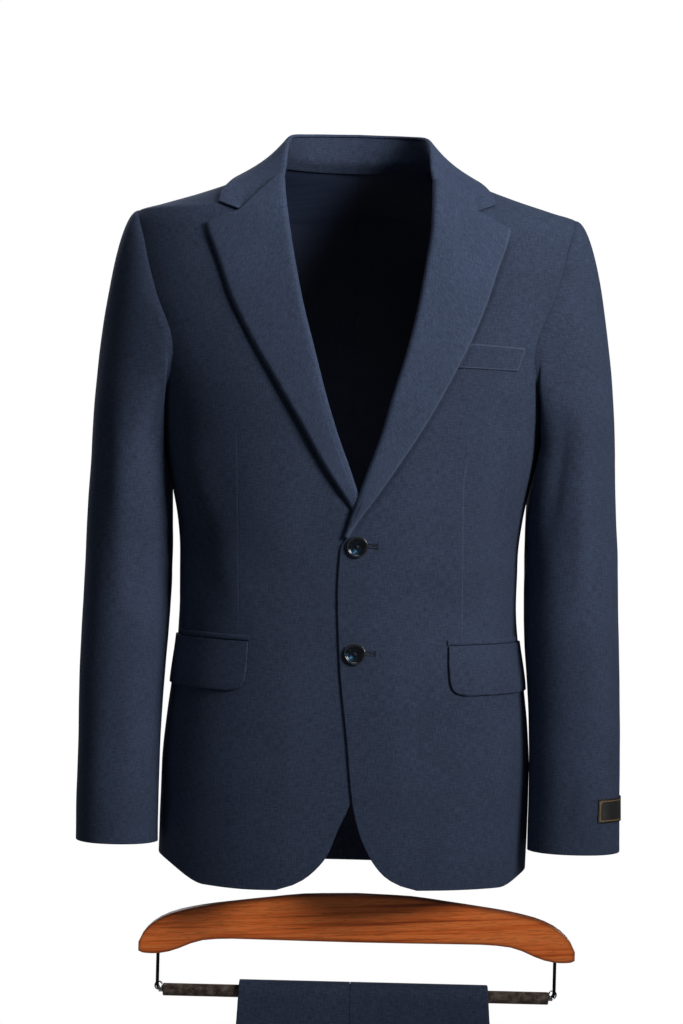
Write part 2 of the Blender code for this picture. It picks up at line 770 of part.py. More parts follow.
def breast_welt():
    columns, levels = 5, 3
    top_in, top_out, low_out, low_in = (Vector(corner) for corner in WELT)
    rows = []
    for j in range(levels + 1):
        start, end = top_in.lerp(low_in, j / levels), top_out.lerp(low_out, j / levels)
        line = []
        for i in range(columns + 1):
            at = start.lerp(end, i / columns)
            line.append(cloth(1, angle_at_x(at.x, at.y, -1), at.y, WALL / 2 + CLEAR + 0.6 * MM)[0])
        rows.append(line)
    return wall("breast_welt", rows, thickness=1.2 * MM)


def button(name, height):
    """A turned button with a raised rim, standing on the upper front."""
    sides = 20
    middle, normal = cloth(1, angle_at_x(BUTTON_SIDE, height, -1), height, WALL / 2 + SEAM)
    across = normal.orthogonal().normalized()
    up = normal.cross(across)
    points = [middle + normal * BUTTON[0][1] * MM]
    for radius, rise in BUTTON[1:-1]:
        for i in range(sides):
            turn = 2 * math.pi * i / sides
            out = across * math.cos(turn) + up * math.sin(turn)
            points.append(middle + (out * radius + normal * rise) * MM)
    points.append(middle + normal * BUTTON[-1][1] * MM)
    rings = len(BUTTON) - 2
    faces = [(0, 1 + (i + 1) % sides, 1 + i) for i in range(sides)]
    for k in range(rings - 1):
        for i in range(sides):
            a, b = 1 + k * sides + i, 1 + k * sides + (i + 1) % sides
            faces.append((a, b, b + sides, a + sides))
    last = 1 + (rings - 1) * sides
    faces += [(last + i, last + (i + 1) % sides, len(points) - 1) for i in range(sides)]
    return add_object(name, points, faces, "horn")


def sleeve_label():
    """A plain woven label round the outer side of the wearer's left cuff."""
    columns, levels = 8, 3
    rows = []
    for j in range(levels + 1):
        height = lerp(LABEL["high"], LABEL["low"], j / levels)
        line = []
        for i in range(columns + 1):
            step = lerp(LABEL["start"], LABEL["end"], i / columns) / 360 * ARMHOLE_STEPS
            here = sleeve_section(1, step, height)
            around = sleeve_section(1, step + 0.3, height) - sleeve_section(1, step - 0.3, height)
            along = sleeve_section(1, step, height - 5) - sleeve_section(1, step, height + 5)
            out = around.cross(along).normalized()
            line.append(here * MM + out * (WALL / 2 + CLEAR + 0.3 * MM))
        rows.append(line)
    return wall("sleeve_label", rows, thickness=LABEL["thickness"] * MM, material_name="woven_label")


# ---- hanger and trousers -------------------------------------------------------------------------


def hanger_wood():
    """A flat-faced wooden hanger with rounded edges and drooping ends."""
    half, round_off = HANGER_THICK / 2, 3.0
    rings = []
    for side, rows in ((-1, reversed(HANGER)), (1, HANGER[1:])):
        for row in rows:
            x = HANGER_SIDE + side * row["out"]
            corner = min(round_off, (row["top"] - row["bottom"]) / 3)
            outline = (
                (-half, row["top"] - corner),
                (-half + corner * 0.3, row["top"] - corner * 0.3),
                (-half + corner, row["top"]),
                (half - corner, row["top"]),
                (half - corner * 0.3, row["top"] - corner * 0.3),
                (half, row["top"] - corner),
                (half, row["bottom"] + corner),
                (half - corner * 0.3, row["bottom"] + corner * 0.3),
                (half - corner, row["bottom"]),
                (-half + corner, row["bottom"]),
                (-half + corner * 0.3, row["bottom"] + corner * 0.3),
                (-half, row["bottom"] + corner),
            )
            rings.append([Vector((x, y - HANGER_FORWARD, z)) * MM for y, z in outline])
    return lofted("hanger_wood", rings, "varnished_wood")


def tube(name, route, radius, material_name):
    curve = bpy.data.curves.new(name, "CURVE")
    curve.dimensions = "3D"
    curve.bevel_depth = radius * MM
    curve.bevel_resolution = 3
    curve.use_fill_caps = True
    line = curve.splines.new("POLY")
    line.points.add(len(route) - 1)
    for point, place in zip(line.points, route):
        point.co = (place[0] * MM, place[1] * MM, place[2] * MM, 1.0)
    curve.materials.append(material(material_name))
    made = bpy.data.objects.new(name, curve)
    bpy.context.scene.collection.objects.link(made)
    return made


def hanger_metal():
    """A wire at each end, from the wood down and round into the bar's end."""
    under = between(HANGER, "out", WIRE_OUT)["bottom"] - 0.6
    bend = 6.0
    for side, word in ((1, "left"), (-1, "right")):
        x = HANGER_SIDE + side * WIRE_OUT
        route = [(x, -HANGER_FORWARD, under), (x, -HANGER_FORWARD, BAR_HEIGHT + bend)]
        for i in range(1, 6):
            turn = math.pi / 2 * i / 5
            inward, above = bend * (1 - math.cos(turn)), bend * (1 - math.sin(turn))
            route.append((x - side * inward, -HANGER_FORWARD, BAR_HEIGHT + above))
        route.append((HANGER_SIDE + side * (BAR_HALF + 0.3), -HANGER_FORWARD, BAR_HEIGHT))
        tube("hanger_wire_" + word, route, WIRE_RADIUS, "chrome")
    ends = [(HANGER_SIDE + side * BAR_HALF, -HANGER_FORWARD, BAR_HEIGHT) for side in (-1, 1)]
    sides = 24
    rings = []
    for x, y, z in ends:
        ring = []
        for i in range(sides):
            turn = 2 * math.pi * i / sides
            ring.append(Vector((x, y + BAR_RADIUS * math.cos(turn), z + BAR_RADIUS * math.sin(turn))) * MM)
        rings.append(ring)
    lofted("trouser_bar", rings, "flock")


def leg_path(along, off):
    """(Y, height) of the folded trousers at a length from the top of the bar, off the bar's surface."""
    radius = BAR_RADIUS + 0.3 + off
    quarter = math.pi / 2 * (BAR_RADIUS + 0.3 + CORE_THICK / 2)
    side = -1 if along > 0 else 1
    drop = abs(along) - quarter
    if drop <= 0:
        turn = along / quarter * math.pi / 2
        return -HANGER_FORWARD - radius * math.sin(turn), BAR_HEIGHT + radius * math.cos(turn)
    away = lerp(radius, 0.35 + off, ease(0, PRESSED_BELOW, drop))
    return -HANGER_FORWARD + side * away, BAR_HEIGHT - drop


def leg_levels(start, end):
    """Lengths along the trousers from one place to another, close together over the bar."""
    quarter = math.pi / 2 * (BAR_RADIUS + 0.3 + CORE_THICK / 2)
    near = [quarter * k / 4 for k in range(-4, 5)]
    near += [side * (quarter + below) for side in (-1, 1) for below in (15, 35, 60, 85)]
    levels = {start, end} | {at for at in near if start < at < end}
    for side in (-1, 1):
        at = quarter + 125
        while at < max(abs(start), abs(end)) - LEG_SPACING / 3:
            if start < side * at < end:
                levels.add(side * at)
            at += LEG_SPACING
    return sorted(levels)


def leg_panel(name, first, second, start, end, off, thickness, columns=2):
    """A piece of the folded leg between two named lines."""
    rows, normals = [], []
    for along in leg_levels(start, end):
        row = between(LEG, "along", along)
        (y, z), (y_out, z_out) = leg_path(along, off), leg_path(along, off + 1)
        facing = Vector((0, y_out - y, z_out - z)).normalized()
        left = row[first] + (0.15 if first == "seam" else 0.0)
        right = row[second] - (0.15 if second == "seam" else 0.0)
        rows.append([Vector((lerp(left, right, i / columns), y, z)) * MM for i in range(columns + 1)])
        normals.append([facing] * (columns + 1))
    return wall(name, rows, normals, thickness * MM)


def leg_core(waist, hem):
    """The hidden layers as one solid, with three layers marked along each edge."""
    layers, nick, inset = 3, 0.9, 0.8
    rings = []
    for along in leg_levels(hem, waist):
        row = between(LEG, "along", along)
        left, right = row["front_crease"] + inset, row["back_crease"] - inset
        outline = []
        for k in range(2 * layers + 1):
            outline.append((left + (nick if k % 2 == 0 else 0.0), CORE_THICK * k / (2 * layers)))
        for k in range(2 * layers, -1, -1):
            outline.append((right - (nick if k % 2 == 0 else 0.0), CORE_THICK * k / (2 * layers)))
        rings.append([Vector((x, *leg_path(along, off))) * MM for x, off in outline])
    return lofted("leg_hidden_layers", rings, "navy_wool")


def trousers():
    waist, hem = LEG[-1]["along"], LEG[0]["along"]
    off = CORE_THICK + 0.3 + LEG_THICK / 2
    shell_end = waist - BAND_HEIGHT - 0.3
    leg_panel("leg_front_panel", "front_crease", "seam", hem, shell_end, off, LEG_THICK)
    leg_panel("leg_back_panel", "seam", "back_crease", hem, shell_end, off, LEG_THICK)
    band_off = CORE_THICK + 0.3 + BAND_THICK / 2
    band_low = waist - BAND_HEIGHT
    leg_panel("waistband", "front_crease", "back_crease", band_low, waist, band_off, BAND_THICK, 4)
    leg_core(waist - 1.5, hem + 1.0)


def clear_scene():
    for old in list(bpy.data.objects):
        bpy.data.objects.remove(old, do_unlink=True)


def main():
    clear_scene()
    for side, word in ((1, "left"), (-1, "right")):
        panel("front_" + word, side, -1)
        panel("back_" + word, side, 1)
        side_panel("side_" + word, side)
        sleeve(side, word)
        lapel("lapel_" + word, side)
        pockets(side, word)
    collar_fall()
    collar_stand()
    breast_welt()
    for name, height in BUTTON_HEIGHTS.items():
        button(name, height)
    sleeve_label()
    hanger_wood()
    hanger_metal()
    trousers()


main()
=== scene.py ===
import math

import bpy
import numpy as np
from mathutils import Matrix, Vector


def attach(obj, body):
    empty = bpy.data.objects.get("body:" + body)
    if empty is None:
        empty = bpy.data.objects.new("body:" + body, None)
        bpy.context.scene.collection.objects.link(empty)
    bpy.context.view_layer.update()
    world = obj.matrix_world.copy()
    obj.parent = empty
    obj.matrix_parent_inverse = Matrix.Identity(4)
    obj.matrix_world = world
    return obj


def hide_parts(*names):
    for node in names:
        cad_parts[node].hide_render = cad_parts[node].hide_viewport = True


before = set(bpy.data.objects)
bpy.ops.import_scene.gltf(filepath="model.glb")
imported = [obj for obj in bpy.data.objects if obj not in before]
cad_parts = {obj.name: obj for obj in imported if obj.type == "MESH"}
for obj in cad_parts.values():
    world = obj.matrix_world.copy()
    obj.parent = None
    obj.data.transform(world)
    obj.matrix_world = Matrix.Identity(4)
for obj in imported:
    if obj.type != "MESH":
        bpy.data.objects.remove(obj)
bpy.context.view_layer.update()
print("frame loaded:", len(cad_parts), "nodes")

# The suit is worked out in millimetres and turned to metres where a mesh is made.
# The front faces -Y, and side is +1 for the wearer's left and -1 for the right.
mm = 0.001

clothSet = {
    "wall": 2.0,  # thickness of the cloth with its lining
    "seam": -0.12,  # sewn pieces are pushed into each other by this much, so that no light comes through
    "clear": 0.7,  # under a piece that lies on another
    "spacing": 4.0,  # between the points of a sheet
    "turnedEdge": 0.95,  # rounding of a turned edge
    "seamEdge": 0.4,  # rounding of an edge in a seam
    "armholeEdge": 0.9,
}
laid = clothSet["wall"] + clothSet["clear"]
seamEdge, turnedEdge = clothSet["seamEdge"], clothSet["turnedEdge"]
sides = ((1, "Left"), (-1, "Right"))


# ways to make materials

def linear(hexColour):
    # sRGB hex to the linear values that the sockets take
    parts = [int(hexColour[i:i + 2], 16) / 255 for i in (1, 3, 5)]
    return tuple(p / 12.92 if p <= 0.04045 else ((p + 0.055) / 1.055) ** 2.4 for p in parts) + (1.0,)


def setInputs(tree, node, links):
    # each input takes a value, another node or one of its outputs
    for key, value in links.items():
        if isinstance(value, bpy.types.Node):
            value = value.outputs[2 if value.type == "MIX" else 0]  # a mix of colours has its result third
        if isinstance(value, bpy.types.NodeSocket):
            tree.links.new(value, node.inputs[key])
        else:
            node.inputs[key].default_value = value


def addNode(tree, kind, links=None, stops=None, **settings):
    node = tree.nodes.new("ShaderNode" + kind)
    for name, value in settings.items():
        setattr(node, name, value)
    setInputs(tree, node, links or {})
    if stops:
        ramp = node.color_ramp.elements
        while len(ramp) < len(stops):
            ramp.new(0.5)
        for point, (place, colour) in zip(ramp, stops):
            point.position = place
            point.color = colour
    return node


def grey(value):
    return (value, value, value, 1.0)


def dyed(colours, *places):
    # the stops of a ramp, from sRGB hex colours
    return [(place, linear(colour)) for place, colour in zip(places, colours)]


waveScale = 0.314  # the scale at which a Wave Texture repeats every metre


def startMaterial(name, values):
    made = bpy.data.materials.new(name)
    made.use_nodes = True
    shader = made.node_tree.nodes["Principled BSDF"]
    setInputs(made.node_tree, shader, values)
    return made, made.node_tree, shader


woolSet = {
    "navy": "#333e55",
    "lightYarn": "#3c4861",
    "darkYarn": "#2b354a",
    "fleck": "#5a6986",
    # the next colour is the lighter colour of the painted highlight along the edges
    "pressed": "#67758f",
    "bloom": "#94a8d0",
    "thread": 0.9,  # mm; real worsted yarns lie 0.35 mm apart, drawn coarser so that the weave shows
    "slubWide": 1.0,  # mm; thick places in the yarn
    "slubLong": 8.0,
    "fleckSize": 1.1,
    "cloudSize": 1000 / 14,
    "bump": 0.00022,
}


def worstedWool(name, line=None, tone=1.0):
    # worsted wool in plain weave, piece-dyed navy over a heathered yarn: matt, mottled, with short slubs
    # both ways and a slight bloom of fibre at grazing angles
    made, tree, shader = startMaterial(name, {
        "Roughness": 0.88, "IOR": 1.46, "Specular IOR Level": 0.22,
        "Sheen Weight": 0.10, "Sheen Roughness": 0.45, "Sheen Tint": linear(woolSet["bloom"])})
    grain = addNode(tree, "UVMap", uv_map="cloth")
    wide, long = 1000 / woolSet["slubWide"], 1000 / woolSet["slubLong"]
    slubs = []
    for scale in ((wide, long, 1.0), (long, wide, 1.0)):
        place = addNode(tree, "Mapping", {"Vector": grain, "Scale": scale})
        settings = {"Vector": place, "Scale": 1.0, "Detail": 2.0, "Roughness": 0.6}
        slubs.append(addNode(tree, "TexNoise", settings, noise_dimensions="2D"))
    both = addNode(tree, "Math", {0: slubs[0], 1: slubs[1]}, operation="ADD")
    half = addNode(tree, "Math", {0: both, 1: 0.5}, operation="MULTIPLY")
    fleckNoise, cloudNoise = (
        addNode(tree, "TexNoise", {"Vector": grain, "Scale": scale, "Detail": detail}, noise_dimensions="2D")
        for scale, detail in ((1000 / woolSet["fleckSize"], 1.0), (1000 / woolSet["cloudSize"], 3.0)))
    yarns = [woolSet[name] for name in ("darkYarn", "navy", "lightYarn")]
    yarn = addNode(tree, "ValToRGB", {"Fac": half}, stops=dyed(yarns, 0.36, 0.50, 0.64))
    fleck = addNode(tree, "ValToRGB", {"Fac": fleckNoise}, stops=((0.62, grey(0.0)), (0.78, grey(0.22))))
    flecked = addNode(tree, "Mix", {0: fleck, 6: yarn, 7: linear(woolSet["fleck"])}, data_type="RGBA")
    # a tone above 1 makes a lighter copy of the wool: painted light
    cloud = addNode(tree, "ValToRGB", {"Fac": cloudNoise},
                    stops=((0.3, grey(0.92 * tone)), (0.7, grey(1.06 * tone))))
    colour = addNode(tree, "Mix", {0: 1.0, 6: flecked, 7: cloud}, data_type="RGBA", blend_type="MULTIPLY")
    # plain weave: bumps where warp and weft cross, every other one turned down
    split = addNode(tree, "SeparateXYZ", {"Vector": grain})
    turns = 2 * math.pi * 1000 / (2 * woolSet["thread"])
    waves = []
    for axis in ("X", "Y"):
        turned = addNode(tree, "Math", {0: split.outputs[axis], 1: turns}, operation="MULTIPLY")
        waves.append(addNode(tree, "Math", {0: turned}, operation="SINE"))
    weave = addNode(tree, "Math", {0: waves[0], 1: waves[1]}, operation="MULTIPLY")
    relief = addNode(tree, "Math", {0: weave, 1: 0.35, 2: half}, operation="MULTIPLY_ADD")
    if line:
        relief, colour = line(tree, relief, colour)
    bump = addNode(tree, "Bump", {"Height": relief, "Strength": 0.55, "Distance": woolSet["bump"]})
    setInputs(tree, shader, {"Base Color": colour, "Normal": bump})
    return made


stitchSet = {
    "dartWide": 0.0011, "dartDepth": 1.2, "dartHighlight": 0.22,
    "pickFrom": 0.0022, "pickWide": 0.0005, "pickEvery": 0.0034, "pickDepth": 1.6, "pickShade": 0.5,
    "bandWide": 0.0042, "weltBand": 0.0014, "bandHighlight": 0.22, "bandFull": 0.7,
}


def dartLine(tree, height, colour):
    # a pressed dart: a fine sunken line, mixed towards a lighter colour as a painted highlight, fading out at
    # its ends
    place = addNode(tree, "UVMap", uv_map="dart")
    split = addNode(tree, "SeparateXYZ", {"Vector": place})
    away = addNode(tree, "Math", {0: split.outputs["X"]}, operation="ABSOLUTE")
    near = addNode(tree, "MapRange", {
        "Value": away, "From Min": stitchSet["dartWide"], "From Max": 0.0, "To Min": 0.0, "To Max": 1.0},
        interpolation_type="SMOOTHSTEP")
    shown = addNode(tree, "Math", {0: near, 1: split.outputs["Y"]}, operation="MULTIPLY")
    sunk = addNode(tree, "Math", {0: shown, 1: -stitchSet["dartDepth"], 2: height},
                   operation="MULTIPLY_ADD")
    # painted highlight: the line's colour is lightened towards the fleck colour
    part = addNode(tree, "Math", {0: shown, 1: stitchSet["dartHighlight"]}, operation="MULTIPLY")
    shaded = addNode(tree, "Mix", {0: part, 6: colour, 7: linear(woolSet["fleck"])}, data_type="RGBA")
    return sunk, shaded


def pickStitches(tree, height, colour):
    # hand pick stitches: small dimples a little way in from the edge, darkened as painted shade
    place = addNode(tree, "UVMap", uv_map="edge")
    split = addNode(tree, "SeparateXYZ", {"Vector": place})
    away = addNode(tree, "Math", {0: split.outputs["Y"], 1: stitchSet["pickFrom"]}, operation="SUBTRACT")
    apart = addNode(tree, "Math", {0: away}, operation="ABSOLUTE")
    across = addNode(tree, "MapRange", {
        "Value": apart, "From Min": stitchSet["pickWide"], "From Max": 0.0, "To Min": 0.0, "To Max": 1.0},
        interpolation_type="SMOOTHSTEP")
    turned = addNode(tree, "Math", {
        0: split.outputs["X"], 1: 2 * math.pi / stitchSet["pickEvery"]}, operation="MULTIPLY")
    wave = addNode(tree, "Math", {0: turned}, operation="SINE")
    along = addNode(tree, "MapRange", {
        "Value": wave, "From Min": 0.2, "From Max": 0.7, "To Min": 0.0, "To Max": 1.0},
        interpolation_type="SMOOTHSTEP")
    stitch = addNode(tree, "Math", {0: across, 1: along}, operation="MULTIPLY")
    sunk = addNode(tree, "Math", {0: stitch, 1: -stitchSet["pickDepth"], 2: height}, operation="MULTIPLY_ADD")
    # painted shade: the dimples are darkened towards the dark yarn
    part = addNode(tree, "Math", {0: stitch, 1: stitchSet["pickShade"]}, operation="MULTIPLY")
    shaded = addNode(tree, "Mix", {0: part, 6: colour, 7: linear(woolSet["darkYarn"])}, data_type="RGBA")
    return sunk, shaded


def paintedEdgeHighlight(tree, height, colour, wide=stitchSet["bandWide"]):
    # a band along the edge is mixed towards a lighter colour: a painted highlight where the rolled edge would
    # catch the light
    height, colour = pickStitches(tree, height, colour)
    place = addNode(tree, "UVMap", uv_map="edge")
    split = addNode(tree, "SeparateXYZ", {"Vector": place})
    band = addNode(tree, "MapRange", {
        "Value": split.outputs["Y"], "From Min": wide, "From Max": wide * stitchSet["bandFull"],
        "To Min": 0.0, "To Max": stitchSet["bandHighlight"]}, interpolation_type="SMOOTHSTEP")
    # painted highlight: the colour is lightened within the band along the edge
    lit = addNode(tree, "Mix", {0: band, 6: colour, 7: linear(woolSet["pressed"])}, data_type="RGBA")
    return height, lit


liningSet = {
    "colours": ("#222c44", "#2e3a56"), "gloss": "#9fb0d0",
    "floats": (1250.0, 60.0, 1.0), "bump": 0.00025,  # how often per metre, and metres
}


def viscoseLining():
    # viscose satin lining: dark navy, fine long floats that give a soft streaky gloss
    made, tree, shader = startMaterial("viscoseSatinLining", {
        "Roughness": 0.46, "Specular IOR Level": 0.5, "Sheen Weight": 0.1, "Sheen Roughness": 0.3,
        "Sheen Tint": linear(liningSet["gloss"])})
    grain = addNode(tree, "UVMap", uv_map="cloth")
    # satin floats are under 0.1 mm wide; the streaks are drawn 0.8 mm wide so that they show
    place = addNode(tree, "Mapping", {"Vector": grain, "Scale": liningSet["floats"]})
    streak, slack = (
        addNode(tree, "TexNoise", {"Vector": where, "Scale": scale, "Detail": detail}, noise_dimensions="2D")
        for where, scale, detail in ((place, 1.0, 3.0), (grain, 22.0, 2.0)))
    tone = addNode(tree, "ValToRGB", {"Fac": streak}, stops=dyed(liningSet["colours"], 0.3, 0.7))
    height = addNode(tree, "Math", {0: slack, 1: 6.0, 2: streak}, operation="MULTIPLY_ADD")
    bump = addNode(tree, "Bump", {"Height": height, "Strength": 0.5, "Distance": liningSet["bump"]})
    setInputs(tree, shader, {"Base Color": tone, "Normal": bump})
    return made


tapeSet = {
    "colours": ("#0d0d0e", "#191a1c"), "line": "#8a7040",
    "lineFrom": 0.0022, "thread": 0.0005,  # metres
}


def labelSatin():
    # damask label tape: black polyester in a dense satin, with a thin woven line inside its edge
    made, tree, shader = startMaterial("damaskLabelTape", {
        "Roughness": 0.55, "Specular IOR Level": 0.5, "Sheen Weight": 0.08, "Sheen Roughness": 0.4})
    grain = addNode(tree, "UVMap", uv_map="cloth")
    edge = addNode(tree, "UVMap", uv_map="edge")
    # label threads are 0.1 mm; drawn 0.5 mm apart so that the rib shows
    ribs = addNode(tree, "TexWave", {
        "Vector": grain, "Scale": waveScale / tapeSet["thread"], "Distortion": 0.6, "Detail": 1.0},
        bands_direction="Y").outputs["Fac"]
    tone = addNode(tree, "ValToRGB", {"Fac": ribs}, stops=dyed(tapeSet["colours"], 0.2, 0.8))
    split = addNode(tree, "SeparateXYZ", {"Vector": edge})
    away = addNode(tree, "Math", {0: split.outputs["Y"], 1: tapeSet["lineFrom"]}, operation="SUBTRACT")
    apart = addNode(tree, "Math", {0: away}, operation="ABSOLUTE")
    border = addNode(tree, "MapRange", {
        "Value": apart, "From Min": 0.0007, "From Max": 0.0003, "To Min": 0.0, "To Max": 0.75})
    colour = addNode(tree, "Mix", {0: border, 6: tone, 7: linear(tapeSet["line"])}, data_type="RGBA")
    bump = addNode(tree, "Bump", {"Height": ribs, "Strength": 0.5, "Distance": 0.00015})
    setInputs(tree, shader, {"Base Color": colour, "Normal": bump})
    return made


resinSet = {
    # the rim colour is a painted highlight ring
    "colours": ("#090b10", "#101a28", "#1f4668", "#4d84a8"), "rim": "#38404a",
    "castFrom": (-0.30, -0.42, 0.0),  # the marbling is strongest here, in shares of the radius
}


def buttonResin():
    # polyester button resin: near-black, polished, with blue marbling cast to one side
    made, tree, shader = startMaterial("marbledButtonResin", {
        "Roughness": 0.16, "IOR": 1.55, "Coat Weight": 0.35, "Coat Roughness": 0.08})
    face = addNode(tree, "UVMap", uv_map="face")
    swirl = addNode(tree, "TexNoise", {"Vector": face, "Scale": 2.1, "Detail": 4.0, "Distortion": 1.4},
                    noise_dimensions="2D")
    side = addNode(tree, "VectorMath", {0: face, 1: resinSet["castFrom"]}, operation="DISTANCE")
    near = addNode(tree, "MapRange", {
        "Value": side.outputs["Value"], "From Min": 0.62, "From Max": 0.05, "To Min": 0.0, "To Max": 0.30})
    mixed = addNode(tree, "Math", {0: swirl, 1: near}, operation="ADD")
    stops = dyed(resinSet["colours"], 0.52, 0.66, 0.78, 0.90)
    colour = addNode(tree, "ValToRGB", {"Fac": mixed}, stops=stops)
    # the rim is mixed towards a lighter grey: a painted highlight ring round the edge
    out = addNode(tree, "VectorMath", {0: face}, operation="LENGTH")
    rim = addNode(tree, "MapRange", {
        "Value": out.outputs["Value"], "From Min": 0.80, "From Max": 0.88, "To Min": 0.0, "To Max": 0.5},
        interpolation_type="SMOOTHSTEP")
    ringed = addNode(tree, "Mix", {0: rim, 6: colour, 7: linear(resinSet["rim"])}, data_type="RGBA")
    gloss = addNode(tree, "MapRange", {
        "Value": swirl, "From Min": 0.3, "From Max": 0.7, "To Min": 0.13, "To Max": 0.22})
    setInputs(tree, shader, {"Base Color": ringed, "Roughness": gloss})
    return made


threadSet = {"colours": ("#141c2b", "#2a3854"), "twist": 0.0008}  # metres


def sewingThread():
    # mercerised cotton thread: twisted, slightly glossy, dyed to the cloth
    made, tree, shader = startMaterial("mercerisedCottonThread", {
        "Roughness": 0.62, "Sheen Weight": 0.2, "Sheen Roughness": 0.4})
    place = addNode(tree, "TexCoord").outputs["Object"]
    # the twist repeats every 0.4 mm in the real thread; drawn at 0.8 mm
    settings = {"Vector": place, "Scale": waveScale / threadSet["twist"], "Distortion": 1.0}
    twist = addNode(tree, "TexWave", settings, bands_direction="DIAGONAL").outputs["Fac"]
    colour = addNode(tree, "ValToRGB", {"Fac": twist}, stops=dyed(threadSet["colours"], 0.2, 0.8))
    bump = addNode(tree, "Bump", {"Height": twist, "Strength": 0.6, "Distance": 0.0001})
    setInputs(tree, shader, {"Base Color": colour, "Normal": bump})
    return made


woodSet = {
    # rim is the dark brown of the painted shade at the edges
    "body": "#f4772f", "light": "#ff8f47", "streak": "#b04a1b", "rim": "#6b2c10",
    "ringMm": 3.2,  # distance between the rings as they show on the board's face
    "poreMm": 0.8,
}


def varnishedWood():
    # stained beech under a clear gloss varnish: orange-brown, streaks and short pores along the board,
    # with painted shade darkening its rounded edges and narrow faces
    made, tree, shader = startMaterial("stainedBeech", {
        "Roughness": 0.38, "IOR": 1.5, "Coat Weight": 0.7, "Coat Roughness": 0.12, "Coat IOR": 1.5})
    place = addNode(tree, "TexCoord").outputs["Object"]
    turned = addNode(tree, "Mapping", {"Vector": place, "Rotation": (0.0, math.radians(3.0), 0.0)})
    layers = []
    for wide, long, detail in ((woodSet["ringMm"], 110.0, 4.0), (woodSet["poreMm"], 14.0, 2.0)):
        stretched = addNode(tree, "Mapping", {
            "Vector": turned, "Scale": (1000 / long, 1000 / wide, 1000 / wide)})
        layers.append(addNode(tree, "TexNoise", {
            "Vector": stretched, "Scale": 1.0, "Detail": detail, "Distortion": 0.35}))
    stains = [woodSet[name] for name in ("streak", "body", "light", "body")]
    rings = addNode(tree, "ValToRGB", {"Fac": layers[0]}, stops=dyed(stains, 0.30, 0.44, 0.60, 0.74))
    pores = addNode(tree, "ValToRGB", {"Fac": layers[1]}, stops=((0.36, grey(0.72)), (0.46, grey(1.0))))
    grained = addNode(tree, "Mix", {0: 1.0, 6: rings, 7: pores}, data_type="RGBA", blend_type="MULTIPLY")
    # painted shade: the rim attribute marks the rounded edges and narrow faces, which are mixed towards dark
    # brown
    rim = addNode(tree, "Attribute", attribute_name="rim", attribute_type="GEOMETRY")
    part = addNode(tree, "Math", {0: rim.outputs["Fac"], 1: 0.75}, operation="MULTIPLY")
    colour = addNode(tree, "Mix", {0: part, 6: grained, 7: linear(woodSet["rim"])}, data_type="RGBA")
    bump = addNode(tree, "Bump", {"Height": layers[1], "Strength": 0.25, "Distance": 0.0002})
    setInputs(tree, shader, {"Base Color": colour, "Normal": bump})
    return made


flockSet = {
    "colours": ("#211b19", "#453c37", "#6f655f"), "sheen": "#b9a596",
    "tufts": 1400.0, "patches": 120.0,  # how often per metre
}


def nylonFlock():
    # nylon flock on the trouser bar: dark brown, velvety, lighter where it catches the light sideways
    made, tree, shader = startMaterial("nylonFlock", {
        "Roughness": 0.95, "Specular IOR Level": 0.2, "Sheen Weight": 0.5, "Sheen Roughness": 0.5,
        "Sheen Tint": linear(flockSet["sheen"])})
    place = addNode(tree, "TexCoord").outputs["Object"]
    # flock fibres are 0.02 mm; drawn as 0.7 mm tufts so that the nap shows
    tufts = addNode(tree, "TexNoise", {"Vector": place, "Scale": flockSet["tufts"], "Detail": 3.0})
    patches = addNode(tree, "TexNoise", {"Vector": place, "Scale": flockSet["patches"], "Detail": 2.0})
    mixed = addNode(tree, "Math", {0: tufts, 1: patches}, operation="ADD")
    half = addNode(tree, "Math", {0: mixed, 1: 0.5}, operation="MULTIPLY")
    colour = addNode(tree, "ValToRGB", {"Fac": half}, stops=dyed(flockSet["colours"], 0.40, 0.50, 0.60))
    bump = addNode(tree, "Bump", {"Height": tufts, "Strength": 0.8, "Distance": 0.0004})
    setInputs(tree, shader, {"Base Color": colour, "Normal": bump})
    return made


def platedSteel(name, dark, light, roughness):
    # electroplated steel rod: metallic, with the drawing marks showing faintly in its gloss
    made, tree, shader = startMaterial(name, {"Metallic": 1.0})
    place = addNode(tree, "TexCoord").outputs["Object"]
    # drawing marks are hair-fine; drawn at 0.6 mm
    stretched = addNode(tree, "Mapping", {"Vector": place, "Scale": (1600.0, 1600.0, 90.0)})
    marks = addNode(tree, "TexNoise", {"Vector": stretched, "Scale": 1.0, "Detail": 2.0})
    colour = addNode(tree, "ValToRGB", {"Fac": marks}, stops=dyed((dark, light), 0.3, 0.7))
    gloss = addNode(tree, "MapRange", {
        "Value": marks, "From Min": 0.3, "From Max": 0.7,
        "To Min": roughness * 0.8, "To Max": roughness * 1.3})
    setInputs(tree, shader, {"Base Color": colour, "Roughness": gloss})
    return made


wool = worstedWool("worstedWool")
dartedWool = worstedWool("worstedWoolDarted", dartLine)
paintedLightStitchedWool = worstedWool("worstedWoolPickStitched", pickStitches, tone=1.3)  # painted light: drawn lighter than the rest of the wool, as if the lapels and collar were more lit
# also drawn lighter as painted light, with a painted highlight along its edge
paintedLightEdgedWool = worstedWool("worstedWoolPressedEdge", paintedEdgeHighlight, tone=1.3)
# the welt's narrow edge band is a painted highlight as well
weltWool = worstedWool("worstedWoolWelt", lambda *values: paintedEdgeHighlight(*values, wide=stitchSet["weltBand"]))
lining = viscoseLining()
labelTape = labelSatin()
resin = buttonResin()
thread = sewingThread()
beech = varnishedWood()
flock = nylonFlock()
blackSteel = platedSteel("blackNickelSteel", "#26272b", "#4a4c52", 0.24)
brightSteel = platedSteel("brightNickelSteel", "#a9acb2", "#d5d8dd", 0.14)
print("materials made")


# the shape of the jacket

def table(names, *rows):
    return dict(zip(names.split(), np.array(sorted(rows), float).T))


